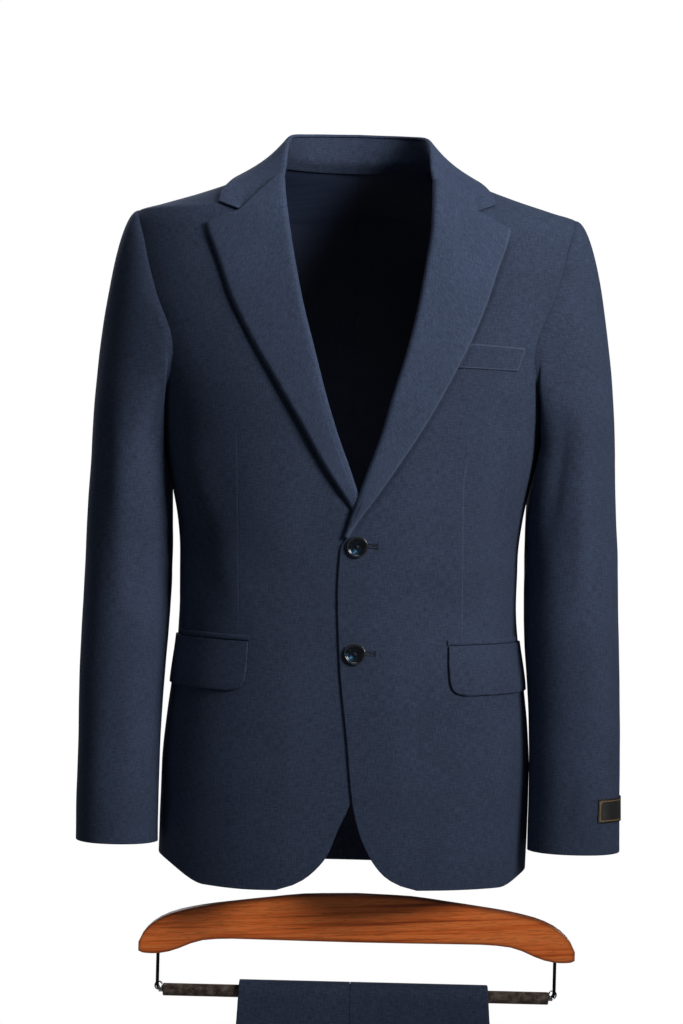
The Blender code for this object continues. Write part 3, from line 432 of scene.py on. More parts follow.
def named(names, *rows):
    return [dict(zip(names.split(), row)) for row in rows]


def hermite(start, end, leave, arrive, t):
    return ((2 * t**3 - 3 * t**2 + 1) * start + (t**3 - 2 * t**2 + t) * leave
            + (3 * t**2 - 2 * t**3) * end + (t**3 - t**2) * arrive)


def read(source, name, at):
    # a column of a table at any value of its first column, on a curve through the rows without overshoot
    keys = next(iter(source.values()))
    values = source[name]
    gaps = np.diff(keys)
    slopes = np.diff(values) / gaps
    product = slopes[:-1] * slopes[1:]
    total = np.where(product > 0, slopes[:-1] + slopes[1:], 1.0)
    inner = np.where(product > 0, 2 * product / total, 0.0)
    tangents = np.concatenate((slopes[:1], inner, slopes[-1:]))
    at = np.clip(at, keys[0], keys[-1])
    k = np.clip(np.searchsorted(keys, at, side="right") - 1, 0, len(gaps) - 1)
    t = (at - keys[k]) / gaps[k]
    return hermite(values[k], values[k + 1], gaps[k] * tangents[k], gaps[k] * tangents[k + 1], t)


def ease(low, high, at):
    t = np.clip((at - low) / (high - low), 0.0, 1.0)
    return t * t * (3 - 2 * t)


def lerp(a, b, t):
    return a + (b - a) * t


def unit(vectors):
    return vectors / np.maximum(np.linalg.norm(vectors, axis=-1, keepdims=True), 1e-9)


def stack(*parts):
    return np.stack(np.broadcast_arrays(*parts), axis=-1).astype(float)


def runAlong(points, axis=0):
    # the distance run from the first point, along a line or along an axis of a grid
    steps = np.linalg.norm(np.diff(points, axis=axis), axis=-1)
    return np.insert(np.cumsum(steps, axis=axis), 0, 0.0, axis=axis)


def squircle(across, along, power):
    # the radius of a rounded square, squarer the higher the power
    return (across**power + along**power) ** (-1 / power)


bodySet = {
    "hem": -757.0,
    "neckRow": -24.0,
    "shoulderRow": -80.3,  # just above the top of the armhole
    "sideEven": -312.0,  # below this the side panel's rows are level
    # the hem rises towards the sides: how much, and where by the sine of the angle from the front
    "sideHemLift": {-1: 20.0, 1: 12.0},
    "sideHem": {-1: (0.80, 1.0), 1: (0.88, 1.0)},
    "hemDip": (3.2, -95.0, 55.0),  # the right front hangs lower: how much, at which X, and how wide
    "lap": 1.35,  # each front is moved this much where one laps over the other
    "buttonSide": 8.0,
    "lean": 9.0,  # the meeting line leans this far to the wearer's left
}
bodyRings = table(
    "height halfWidth front back squareness",
    (-20, 76, 50, 58, 2.00), (-34, 93, 58, 69, 2.00), (-48, 123, 67, 80, 2.00), (-63, 164, 79, 90, 2.00),
    (-75, 203, 88, 96, 2.00), (-82, 225, 93, 99, 2.05), (-100, 234, 102, 104, 2.10),
    (-130, 237, 112, 110, 2.15), (-165, 235, 121, 114, 2.20), (-205, 226, 128, 115, 2.25),
    (-243, 213, 132, 113, 2.30),
    (-275, 202, 133, 110, 2.35), (-330, 189, 132, 104, 2.35), (-382, 178, 130, 99, 2.35),
    (-430, 173, 128, 97, 2.35), (-475, 172, 127, 100, 2.35), (-510, 174, 128, 104, 2.35),
    (-560, 180, 130, 110, 2.40), (-607, 184, 131, 114, 2.40), (-652, 186, 132, 116, 2.40),
    (-757, 187, 134, 118, 2.40))
armhole = {
    "height": -185.0, "rise": 104.0, "front": 76.0, "back": 86.0, "lean": 25.0, "square": 2.3, "steps": 28,
    "frontSeam": 12, "backSeam": -10,
}

# Each lapel from the collar to its end, by distance from the middle and height. The wearer's right one ends
# where the left front covers it, and the left one runs on down the front's free edge.
lapelColumns = "row rollOut rollHeight edgeOut edgeHeight"
lapelRows = {
    -1: table(
        lapelColumns, (0, 75.5, -52.0, 151.3, -100.5), (1, 73.8, -70.0, 146.3, -115.5),
        (2, 69.3, -100.0, 137.6, -138.0), (3, 62.8, -140.0, 125.3, -174.5), (4, 55.2, -182.0, 107.6, -211.5),
        (5, 45.4, -225.0, 83.2, -255.0), (6, 34.5, -272.0, 58.8, -297.0), (7, 22.6, -313.0, 36.8, -337.0),
        (8, 12.5, -341.0, 20.0, -362.5), (9, 0.8, -375.4, 5.0, -383.6)),
    1: table(
        lapelColumns, (0, 76.8, -52.8, 153.0, -100.5), (1, 76.8, -70.0, 148.9, -115.5),
        (2, 75.7, -100.0, 140.6, -138.0), (3, 69.6, -140.0, 128.0, -174.5), (4, 61.2, -182.0, 112.0, -211.5),
        (5, 49.6, -225.0, 88.9, -255.0), (6, 33.9, -272.0, 64.4, -297.0), (7, 21.2, -313.0, 37.5, -338.0),
        (8, 7.5, -350.0, 14.5, -372.0), (9, -2.5, -380.0, 0.9, -391.0), (10, -12.9, -410.0, -10.3, -410.6)),
}
# The line where each lapel folds, and the neckline above it.
rollLine = {
    side: table("height out", (-20, 74.5), (-42, 76.0), *zip(rows["rollHeight"], rows["rollOut"]))
    for side, rows in lapelRows.items()
}
lapelEdge = {
    side: table("height out", *zip(rows["edgeHeight"], rows["edgeOut"])) for side, rows in lapelRows.items()
}


def leanAt(height):
    return bodySet["lean"] * ease(-80, -370, height)


# Creases of the body: a line between two places by distance from the middle and height, raised where deep is
# positive. Side is +1 left, -1 right, 0 both; face -1 front, +1 back.
creaseColumns = "side face fromOut fromHeight toOut toHeight wide deep"
bodyCreases = named(
    creaseColumns,
    (-1, -1, 168, -372, 128, -478, 17, -3.0),
    (1, -1, 160, -392, 122, -505, 17, -3.2),
    (0, -1, 172, -300, 150, -392, 20, 2.6),
    (0, -1, 150, -420, 95, -480, 22, 1.8),
    (0, 1, 30, -418, 150, -452, 20, 2.4),
    (0, 1, 20, -466, 140, -496, 22, -2.4),
    (0, 1, 176, -262, 120, -372, 20, 2.4))
# finer ones that the solids leave out
fineCreases = named(
    creaseColumns,
    (1, -1, 168, -378, 126, -438, 8, -1.3),
    (1, -1, 164, -432, 136, -500, 8, 1.2),
    (-1, -1, 163, -398, 140, -470, 9, -1.1),
    (-1, -1, 160, -330, 128, -420, 14, 1.0),
    (1, -1, 157, -262, 147, -436, 15, -4.8),
    (-1, -1, 186, -255, 164, -345, 10, -1.2),
    (-1, -1, 40, -440, 118, -462, 14, -0.7),
    (1, -1, 44, -436, 112, -452, 12, 0.6),
    (1, -1, 52, -560, 58, -690, 26, 0.9),
    (-1, -1, 70, -580, 66, -700, 28, -0.8),
    (1, 1, 24, -440, 120, -480, 9, 1.0),
    (-1, 1, 30, -402, 128, -440, 10, -0.9),
    (0, 1, 150, -180, 120, -280, 16, -1.4),
    (0, 1, 60, -560, 70, -700, 24, 1.0),
    (1, 0, 172, -500, 190, -760, 34, 3.0),
    (-1, 0, 176, -470, 182, -640, 26, -2.0))


def bodyReach(y, height):
    return np.where(y < 0, read(bodyRings, "front", height), read(bodyRings, "back", height))


def bodyRadius(angle, height):
    across = np.abs(np.sin(angle)) / read(bodyRings, "halfWidth", height)
    along = np.abs(np.cos(angle)) / bodyReach(-np.cos(angle), height)
    return squircle(across, along, read(bodyRings, "squareness", height))


def bodyPoint(angle, height):
    radius = bodyRadius(angle, height)
    low = ease(-600, bodySet["hem"], height)
    sine = np.sin(angle)
    left, right = (lift * ease(*bodySet["sideHem"][side], side * sine)
                   for side, lift in sorted(bodySet["sideHemLift"].items(), reverse=True))
    rise = np.where(sine > 0, left, right)
    dip, middle, wide = bodySet["hemDip"]
    rise -= np.where(np.cos(angle) > 0, dip * np.exp(-(((radius * sine - middle) / wide) ** 2)), 0.0)
    return stack(radius * sine, -radius * np.cos(angle), height + low * rise)


def bodyNormal(angle, height):
    around = bodyPoint(angle + 0.01, height) - bodyPoint(angle - 0.01, height)
    upward = bodyPoint(angle, height + 1.5) - bodyPoint(angle, height - 1.5)
    return unit(np.cross(around, upward))


def angleAtX(x, height, face):
    power = read(bodyRings, "squareness", height)
    share = np.minimum(1.0, np.abs(x) / read(bodyRings, "halfWidth", height))
    reach = read(bodyRings, "front" if face < 0 else "back", height)
    return np.arctan2(x, -face * reach * (1 - share**power) ** (1 / power))


def widthAt(y, height):
    # from the middle to the body's side
    power = read(bodyRings, "squareness", height)
    share = np.minimum(1.0, np.abs(y) / bodyReach(y, height))
    return read(bodyRings, "halfWidth", height) * (1 - share**power) ** (1 / power)


def angleAtY(y, height, side):
    return np.arctan2(side * widthAt(y, height), -y)


def creaseSwell(crease, start, end, here):
    # a soft ridge or furrow from start to end
    run = np.linalg.norm(end - start)
    way = (end - start) / run
    along = (here - start) @ way
    off = np.abs((here - start)[..., 0] * way[1] - (here - start)[..., 1] * way[0])
    swell = np.sin(np.pi * np.clip(along / run, 0, 1)) * np.exp(-((off / crease["wide"]) ** 2))
    return np.where((along > 0) & (along < run), crease["deep"] * swell, 0.0)


def creaseDepth(creases, points):
    total = np.zeros(points.shape[:-1])
    here = stack(np.abs(points[..., 0]), points[..., 2])
    for crease in creases:
        start = np.array((crease["fromOut"], crease["fromHeight"]), float)
        end = np.array((crease["toOut"], crease["toHeight"]), float)
        shown = (crease["side"] * points[..., 0] >= 0) & (crease["face"] * points[..., 1] >= 0)
        total += creaseSwell(crease, start, end, here) * shown
    return total


def unevenness(across, height):
    # cloth is never quite even: a few long, shallow waves
    return (
        0.32 * np.sin(across / 31 + height / 57 + 0.6) * np.sin(height / 43 - across / 89)
        + 0.20 * np.sin(across / 14.5 - height / 37 + 2.1) * np.sin(height / 26 + across / 51 + 1.0)
        + 0.09 * np.sin(across / 7.5 + height / 17 + 0.3) * np.sin(height / 12.5 - across / 23)
    )


def lapelPress(side, points):
    # the front is pressed in a little along the lapel's outer edge
    line = lapelEdge[side]
    fromEdge = side * (points[..., 0] - leanAt(points[..., 2])) - read(line, "out", points[..., 2])
    ends = ease(line["height"][-1], line["height"][-1] - 25, points[..., 2])
    ends = ends * ease(line["height"][0], line["height"][0] + 25, points[..., 2])
    return -2.1 * np.exp(-(((fromEdge * 0.86 - 1.3) / 1.9) ** 2)) * ends * (points[..., 1] < 0)


def cloth(side, angle, height, out=0.0):
    base = bodyPoint(angle, height)
    normal = bodyNormal(angle, height)
    nearMiddle = np.where(base[..., 1] < 0, ease(75, 38, np.abs(base[..., 0] - bodySet["buttonSide"])), 0.0)
    depth = creaseDepth(bodyCreases, base) + creaseDepth(fineCreases, base)
    waves = unevenness(base[..., 0] + 0.7 * base[..., 1], height)
    depth += waves * ease(-60, -120, height) * (1 - nearMiddle)
    depth += lapelPress(side, base)
    depth += side * bodySet["lap"] * nearMiddle * ease(-300, -340, height)
    return base + normal * (depth + out)[..., None], normal


def ringArc(angle, height):
    # length round the body from the middle of the front, for a pattern that runs straight down
    shares = np.linspace(0, 1, 25)
    angle, height = np.broadcast_arrays(angle, height)
    ring = bodyPoint(angle[..., None] * shares, height[..., None] * np.ones(25))[..., :2]
    return np.sign(angle) * np.linalg.norm(np.diff(ring, axis=-2), axis=-1).sum(-1)


meridianHeights = np.linspace(-20, -760, 400)
meridianRun = runAlong(bodyPoint(np.full(400, 0.9), meridianHeights))


def grainOf(angle, height):
    down = np.interp(-np.asarray(height, float), -meridianHeights, meridianRun)
    return stack(ringArc(angle, height), down) * mm


def evenHeights(start, end, spacing, angle=math.pi / 2):
    fine = np.linspace(start, end, 400)
    run = runAlong(bodyPoint(np.full(400, angle), fine))
    return np.interp(np.linspace(0, run[-1], max(2, round(run[-1] / spacing) + 1)), run, fine)


# sheets of cloth

def lineNear(edge, inner, gap=0.6):
    away = np.linalg.norm(inner[..., :3] - edge[..., :3], axis=-1, keepdims=True)
    return edge + (inner - edge) * np.clip(gap / np.maximum(away, 1e-6), 0.0, 0.5)


def clothShell(name, points, normals, maps, thickness=None, edges=None, inside=None, outer=None, inner=None):
    # A closed wall round a grid of points with rounded edges. Maps are its UV maps, edges the rounding of
    # the first row, last column, last row and first column, and inside marks the squares that are lined.
    thickness = thickness or clothSet["wall"]
    edges = edges or (seamEdge,) * 4
    high, wide = points.shape[:2]
    rounding = np.zeros((high, wide))
    inset = np.zeros(points.shape)
    for radius, line, nextLine in (
        (edges[0], np.s_[0, :], np.s_[1, :]), (edges[1], np.s_[:, -1], np.s_[:, -2]),
        (edges[2], np.s_[-1, :], np.s_[-2, :]), (edges[3], np.s_[:, 0], np.s_[:, 1]),
    ):
        square = unit(np.cross(normals[line], np.gradient(points[line], axis=0)))
        square *= np.sign(np.sum(square * (points[nextLine] - points[line])))
        radius = np.broadcast_to(radius, square.shape[:1])
        inset[line] += square * radius[:, None]
        rounding[line] = np.maximum(rounding[line], radius)
    mapNames = list(maps)
    channels = [points + inset, normals, inset, rounding[..., None]] + [maps[key] for key in mapNames]
    grid = np.concatenate(channels, axis=-1)
    for axis in (0, 1):  # a line of points close to each edge keeps the shading of the flat cloth clean
        turned = np.swapaxes(grid, 0, axis)
        turned = np.concatenate((
            turned[:1], lineNear(turned[0], turned[1])[None], turned[1:-1],
            lineNear(turned[-1], turned[-2])[None], turned[-1:]))
        grid = np.swapaxes(turned, 0, axis)
    high, wide = grid.shape[:2]
    flatGrid = grid.reshape(high * wide, -1)
    place, normal = flatGrid[:, 0:3], unit(flatGrid[:, 3:6])
    half = thickness / 2
    index = np.arange(high * wide).reshape(high, wide)
    loop = np.concatenate((index[0, :], index[1:, -1], index[-1, -2::-1], index[-2:0:-1, 0]))
    rim, source = [], [np.arange(high * wide), np.arange(high * wide)]
    radius = np.minimum(flatGrid[loop, 9:10], half * 0.97)
    share = radius / np.maximum(flatGrid[loop, 9:10], 1e-6)
    for turn, sign in ((30, 1), (60, 1), (90, 1), (90, -1), (60, -1), (30, -1)):
        out = math.sin(math.radians(turn))
        rise = half - radius + radius * math.cos(math.radians(turn))
        rim.append(place[loop] - flatGrid[loop, 6:9] * out * share + normal[loop] * rise * sign)
        source.append(loop)
    corners = np.concatenate([place + normal * half, place - normal * half] + rim)
    source = np.concatenate(source)
    a, b, c, d = index[:-1, :-1], index[:-1, 1:], index[1:, 1:], index[1:, :-1]
    top = np.stack((a, b, c, d), axis=-1).reshape(-1, 4)
    below = top[:, ::-1] + high * wide
    rings = [loop] + [2 * high * wide + k * len(loop) + np.arange(len(loop)) for k in range(6)]
    rings.append(loop + high * wide)
    sides = []
    for upper, lower in zip(rings, rings[1:]):
        after, afterLower = np.roll(upper, -1), np.roll(lower, -1)
        sides.append(np.stack((after, upper, lower, afterLower), axis=-1))
    faces = np.concatenate([top, below] + sides)
    middle = (high // 2, wide // 2)
    across = grid[middle[0], middle[1] + 1, :3] - grid[middle[0], middle[1], :3]
    down = grid[middle[0] + 1, middle[1], :3] - grid[middle[0], middle[1], :3]
    if np.dot(np.cross(across, down), grid[middle[0], middle[1], 3:6]) < 0:
        faces = faces[:, ::-1]
    lined = np.ones((high - 1, wide - 1), bool)
    if inside is not None:
        lined[1:-1, 1:-1] = inside
        lined[0], lined[-1] = lined[1], lined[-2]
        lined[:, 0], lined[:, -1] = lined[:, 1], lined[:, -2]
    kinds = np.zeros(len(faces), int)
    kinds[len(top):2 * len(top)] = lined.reshape(-1)
    uvs = {key: flatGrid[:, 10 + 2 * i:12 + 2 * i][source] for i, key in enumerate(mapNames)}
    return addMesh(name, corners * mm, faces, kinds, [outer or wool, inner or lining], uvs)


def addMesh(name, corners, faces, kinds, materials, uvs):
    mesh = bpy.data.meshes.new(name)
    mesh.from_pydata(corners.tolist(), [], faces.tolist())
    for used in materials:
        mesh.materials.append(used)
    mesh.polygons.foreach_set("material_index", kinds.astype(np.int32))
    corner = np.empty(len(mesh.loops), np.int32)
    mesh.loops.foreach_get("vertex_index", corner)
    for key, values in uvs.items():
        layer = mesh.uv_layers.new(name=key)
        layer.data.foreach_set("uv", values[corner].astype(np.float32).ravel())
    mesh.shade_smooth()
    piece = bpy.data.objects.new(name, mesh)
    bpy.context.scene.collection.objects.link(piece)
    return piece


def rideSheet(piece, node=None):
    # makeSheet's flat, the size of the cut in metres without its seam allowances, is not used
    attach(piece, "root")
    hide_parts(node or "".join("_" + c.lower() if c.isupper() else c for c in piece.name))


def makeSheet(name, points, normals, maps, flat, held, rests=(), node=None, **shell):
    rideSheet(clothShell(name, points, normals, maps, **shell), node)


def gridNormals(points):
    across, down = np.gradient(points, axis=1), np.gradient(points, axis=0)
    return unit(np.cross(across, down))


# the jacket's body

def armholePlace(step, grow=0.0):
    angle = 2 * np.pi * step / armhole["steps"]
    reach = np.where(step > 0, armhole["front"], armhole["back"]) + grow
    across, along = np.abs(np.sin(angle)) / reach, np.abs(np.cos(angle)) / (armhole["rise"] + grow)
    radius = squircle(across, along, armhole["square"])
    shift = np.where(step > 0, armhole["lean"] * np.sin(angle) * np.cos(angle), 0.0)
    return -radius * np.sin(angle) + shift, armhole["height"] + radius * np.cos(angle)


def wrapped(step):
    # steps round the armhole from its top: positive in front, negative behind
    return np.where(step > armhole["steps"] / 2, step - armhole["steps"], step)


def linedPart(height):
    # the squares that are lined, above the turned-up hem
    return height[:-1, :-1] > bodySet["hem"] + frontSet["hemTurn"]


frontEdge = table(
    "height upper under", (-367, 13, 3.9), (-379, 9, 13), (-394, 3.6, 22), (-410, -2.3, 26), (-417, -7.3, 26),
    (-424, -8.9, 26.5), (-460, -10.5, 27), (-532, -7, 27), (-610, 2, 20), (-672, 9, 7), (-700, 16, -5),
    (-724, 27, -14.5), (-741, 40, -29), (-751, 55, -44), (-757, 75, -64))
frontSet = {
    "flat": (0.31, 0.77), "backFlat": (0.25, 0.77), "sideFlat": (0.17, 0.49),
    "columns": 112, "backColumns": 60,
    "facing": 95.0,  # mm of cloth inside the front edge before the lining starts
    "hemTurn": 38.0,
    "darts": {
        -1: table("height x", (-296, -114), (-509, -106.7)),
        1: table("height x", (-504, 114.3), (-360, 112), (-316, 117.3)),
    },
}


def frontInnerX(side, height):
    above = side * (read(rollLine[side], "out", height) + 1.6) + leanAt(height)
    below = read(frontEdge, "upper" if side > 0 else "under", height)
    return np.where(height > lapelRows[side]["rollHeight"][-1], above, below)


def bodyPanel(side, face):
    seamStep = armhole["frontSeam"] if face < 0 else -armhole["backSeam"]
    half = clothSet["seam"] / 2
    shoulder = evenHeights(bodySet["neckRow"], bodySet["shoulderRow"], clothSet["spacing"])
    steps = np.linspace(0, seamStep, seamStep * 5 + 1)
    armY, armHeight = armholePlace(-face * steps, clothSet["seam"])
    lower = evenHeights(armHeight[-1], bodySet["hem"], clothSet["spacing"] * 1.15, angle=1.0)[1:]
    seamY = float(armholePlace(-face * seamStep)[0]) + face * half
    outerHeight = np.concatenate((shoulder, armHeight, lower))
    outerY = np.concatenate((np.zeros(len(shoulder)), armY, np.full(len(lower), seamY)))
    outerAngle = np.where(
        np.abs(outerY) < 0.01,
        side * (math.pi / 2 + face * half / bodyRadius(math.pi / 2, outerHeight)),
        angleAtY(outerY, outerHeight, side))
    innerHeight = np.concatenate((  # level with the outer side where the armhole starts
        np.linspace(bodySet["neckRow"], armHeight[0], len(shoulder) + 1)[:-1],
        np.linspace(armHeight[0], armHeight[-1], len(armHeight)), lower))
    if face < 0:
        innerAngle = angleAtX(frontInnerX(side, innerHeight), innerHeight, -1)
    else:
        innerAngle = side * (math.pi - half / bodyRadius(math.pi, innerHeight))
    shares = np.linspace(0, 1, frontSet["columns" if face < 0 else "backColumns"])
    angle = lerp(innerAngle[:, None], outerAngle[:, None], shares)
    height = lerp(innerHeight[:, None], outerHeight[:, None], shares)
    return angle, height


def armholeGroove(height):
    # the rounding of a panel's outer edge: the sleeve is set in with a deeper seam
    outer = height[:, -1]
    level = armhole["height"] + armhole["rise"]
    along = ease(level - 0.3, level - 2, outer) * ease(armhole["height"] - 80, armhole["height"] - 60, outer)
    return lerp(seamEdge, clothSet["armholeEdge"], along)


def makeFront(side, word):
    angle, height = bodyPanel(side, -1)
    points, normals = cloth(side, angle, height)
    dart = frontSet["darts"][side]
    low, high = dart["height"][0], dart["height"][-1]
    away = points[..., 0] - read(dart, "x", height)
    strength = ease(low - 1, low + 12, height) * ease(high + 1, high - 25, height)
    maps = {"cloth": grainOf(angle, height), "dart": stack(away * mm, strength)}
    free = np.where(height[:, 0] > lapelRows[side]["rollHeight"][-1], seamEdge, turnedEdge)
    fromEdge = np.abs(points[..., 0] - points[:, :1, 0])
    makeSheet("front" + word, points, normals, maps, frontSet["flat"], "hung", outer=dartedWool,
              inside=(fromEdge > frontSet["facing"])[:-1, :-1] & linedPart(height),
              edges=(seamEdge, armholeGroove(height), turnedEdge, free))


def makeBack(side, word):
    angle, height = bodyPanel(side, 1)
    makeSheet("back" + word, *cloth(side, angle, height), {"cloth": grainOf(angle, height)},
              frontSet["backFlat"], "hung", inside=linedPart(height),
              edges=(seamEdge, armholeGroove(height), turnedEdge, seamEdge))


def makeSidePanel(side, word):
    half = clothSet["seam"] / 2
    steps = wrapped(np.linspace(armhole["frontSeam"], armhole["steps"] + armhole["backSeam"], 37))
    tops = armholePlace(steps, clothSet["seam"])[1]
    y = armholePlace(steps)[0]
    y[0] += half
    y[-1] -= half
    level = bodySet["sideEven"]
    upper = np.linspace(0, 1, 10)[:-1, None] * (level - tops) + tops
    lower = evenHeights(level, bodySet["hem"], clothSet["spacing"] * 1.15)
    height = np.concatenate((upper, np.repeat(lower[:, None], len(y), axis=1)))
    angle = angleAtY(np.broadcast_to(y, height.shape), height, side)
    makeSheet("side" + word, *cloth(side, angle, height), {"cloth": grainOf(angle, height)},
              frontSet["sideFlat"], "hung", inside=linedPart(height),
              edges=(seamEdge, seamEdge, turnedEdge, seamEdge))


# the sleeves

sleeveSet = {
    "square": 2.15, "clear": 2.2, "turn": 20.0, "rise": 1.2,
    "frontSeam": 12, "backSeam": -8, "cuffTurn": 38.0,
    "flat": {"topSleeve": (0.28, 0.67), "underSleeve": (0.14, 0.47)},
    "cuff": -722.0, "rows": 84,
    "degree": 0.9,  # mm round the sleeve
}
sleeveRings = table(
    "height out halfWidth leftOut leftHalfWidth forward halfDepth",
    (-330, 221.6, 44.2, 223.2, 46.6, 3, 67.5), (-380, 223.2, 44.3, 224.5, 47.2, 7, 65),
    (-430, 224.6, 44.0, 226.6, 47.4, 13, 62), (-480, 225.6, 43.7, 228.4, 47.4, 20, 59),
    (-540, 227.0, 43.4, 230.4, 47.0, 28, 56), (-610, 227.8, 42.1, 233.0, 45.8, 36, 52),
    (-670, 227.8, 41.6, 233.9, 45.6, 43, 50), (-722, 227.3, 41.4, 233.7, 46.0, 48, 48))
# Creases of the sleeves: degrees round from the outer side to the front, and height.
sleeveCreases = named(
    "side fromTurn fromHeight toTurn toHeight wide deep",
    (1, 106, -270, 136, -416, 9, -3.4),
    (1, 82, -260, 102, -480, 12, 2.4),
    (1, 60, -280, 74, -520, 13, -1.9),
    (1, 166, -332, 138, -302, 8, -2.6),
    (1, 98, -640, 128, -700, 11, -1.6),
    (1, 84, -628, 118, -690, 12, 1.1),
    (1, 20, -420, 34, -600, 16, -0.9),
    (-1, 66, -262, 62, -450, 14, -2.0),
    (-1, 94, -290, 98, -490, 13, 2.1),
    (-1, 122, -240, 124, -352, 10, -3.0),
    (-1, 128, -400, 112, -520, 11, -1.8),
    (-1, 90, -560, 100, -700, 18, -0.9),
    (0, 150, -400, 190, -455, 10, -2.2),
    (0, 140, -430, 186, -492, 10, -1.8),
    (0, -60, -400, -90, -520, 16, 1.4),
    (0, -100, -440, -70, -600, 16, -1.3),
    (0, 96, -470, 150, -520, 12, 1.2))


def sleeveSection(side, step, height):
    degrees = 360 * step / armhole["steps"]
    turned = sleeveSet["turn"] * ease(50, 135, degrees) * ease(180, 145, degrees)
    angle = np.radians(degrees - turned)
    half = read(sleeveRings, "leftHalfWidth" if side > 0 else "halfWidth", height)
    middle = read(sleeveRings, "leftOut" if side > 0 else "out", height)
    along = np.abs(np.sin(angle)) / read(sleeveRings, "halfDepth", height)
    radius = squircle(np.abs(np.cos(angle)) / half, along, sleeveSet["square"])
    y = -read(sleeveRings, "forward", height) - radius * np.sin(angle)
    x = middle + radius * np.cos(angle)
    return stack(side * clearOfBody(x, y, height, 1.0), y, height)


def clearOfBody(x, y, height, share):
    # moved out where the sleeve would touch the body
    least = widthAt(y, height) + (clothSet["wall"] + sleeveSet["clear"]) * share
    gap = x - least
    pushed = least + np.where(gap > -40, np.exp(np.clip(gap, -40, 8) / 8 - 1) * 8, 0.0)
    return np.where((np.abs(y) >= bodyReach(y, height)) | (gap > 8), x, pushed)


def armholeInward(side, step):
    y, height = armholePlace(step)
    normal = bodyNormal(angleAtY(y, height, side), height)
    inward = unit(stack(0.0, -y, armhole["height"] - height))
    return unit(inward - np.sum(inward * normal, axis=-1, keepdims=True) * normal)


def capPoint(side, step, t):
    # between the armhole and the first section below it
    y, height = armholePlace(step)
    start = bodyPoint(angleAtY(y, height, side), height)
    end = sleeveSection(side, step, np.full(np.shape(step), sleeveRings["height"][-1]))
    angle = 2 * np.pi * step / armhole["steps"]
    top, front = np.cos(angle), np.sin(angle)
    leave = stack(side * (37 + 36 * top), -16 * front,
                  -18 * np.abs(front) - 8 * (1 - top) + 5 * np.maximum(0.0, top))
    arrive = stack(side * 2.0, -4.0, -np.linalg.norm(end - start, axis=-1))
    point = hermite(start, end, leave, arrive, t)
    lower = ease(0.3, -0.1, top) * ease(0.0, 0.06, t)
    out = clearOfBody(side * point[..., 0], point[..., 1], point[..., 2], min(1.0, t / 0.1))
    point[..., 0] = lerp(point[..., 0], side * out, lower)
    rise = sleeveSet["rise"] * lower * math.sin(math.pi * min(1.0, t / 0.25))
    return point + armholeInward(side, step) * rise[..., None]


capShares = np.concatenate((np.linspace(0, 0.12, 9), np.linspace(0.12, 1, 44)[1:-1]))
sleeveHeights = np.linspace(sleeveRings["height"][-1], sleeveSet["cuff"], sleeveSet["rows"])


def sleeveRow(side, step, level):
    step = wrapped(step)
    if level < len(capShares):
        return capPoint(side, step, float(capShares[level]))
    return sleeveSection(side, step, np.full(step.shape, sleeveHeights[level - len(capShares)]))


def sleeveGrid(side, steps):
    rows = []
    for level in range(len(capShares) + len(sleeveHeights)):
        ends = steps.copy()
        before, after = sleeveRow(side, steps - 0.25, level), sleeveRow(side, steps + 0.25, level)
        around = np.linalg.norm(after - before, axis=-1) * 2
        gap = clothSet["seam"] * (1.8 if capShares[min(level, len(capShares) - 1)] < 0.05 else 1.0)
        ends[0] += 0.5 * gap / around[0]
        ends[-1] -= 0.5 * gap / around[-1]
        rows.append(sleeveRow(side, ends, level))
        if level == 0:
            rows[0] += armholeInward(side, wrapped(ends)) * clothSet["seam"]
    points = np.array(rows)
    normals = gridNormals(points) * side
    y, height = armholePlace(wrapped(steps))
    body = bodyNormal(angleAtY(y, height, side), height)
    for level in range(6):
        normals[level] = unit(lerp(body, normals[level], level / 6))
    return points, normals


def sleeveCreaseDepth(side, turns, heights):
    total = np.zeros(turns.shape)
    long = sleeveSet["degree"]
    for crease in sleeveCreases:
        if crease["side"] * side >= 0:
            start = np.array((crease["fromTurn"] * long, crease["fromHeight"]))
            end = np.array((crease["toTurn"] * long, crease["toHeight"]))
            for lap in (0, 360):
                total += creaseSwell(crease, start, end, stack((turns - lap) * long, heights))
    return total


def makeSleeve(side, word):
    back, front, steps = sleeveSet["backSeam"], sleeveSet["frontSeam"], armhole["steps"]
    for name, start, end in (("topSleeve", back, front), ("underSleeve", front, steps + back)):
        at = np.linspace(start, end, (end - start) * 4 + 1)
        points, normals = sleeveGrid(side, at)
        turns = np.broadcast_to(at * 360 / steps, points.shape[:2])
        depth = sleeveCreaseDepth(side, turns, points[..., 2])
        depth += unevenness(turns * sleeveSet["degree"] + 40 * side, points[..., 2])
        depth *= ease(-110, -200, points[..., 2])
        points = points + normals * depth[..., None]
        down = runAlong(points[::-1])[::-1]
        maps = {"cloth": stack(np.broadcast_to(runAlong(points[60]), down.shape), -down) * mm}
        makeSheet(name + word, points, gridNormals(points) * side, maps, sleeveSet["flat"][name], "hung",
                  inside=points[:-1, :-1, 2] > sleeveHeights[-1] + sleeveSet["cuffTurn"],
                  edges=(clothSet["armholeEdge"], seamEdge, turnedEdge, seamEdge))


for side, word in sides:
    makeFront(side, word)
    makeBack(side, word)
    makeSidePanel(side, word)
    makeSleeve(side, word)
print("body and sleeves made")


# lapels and collar

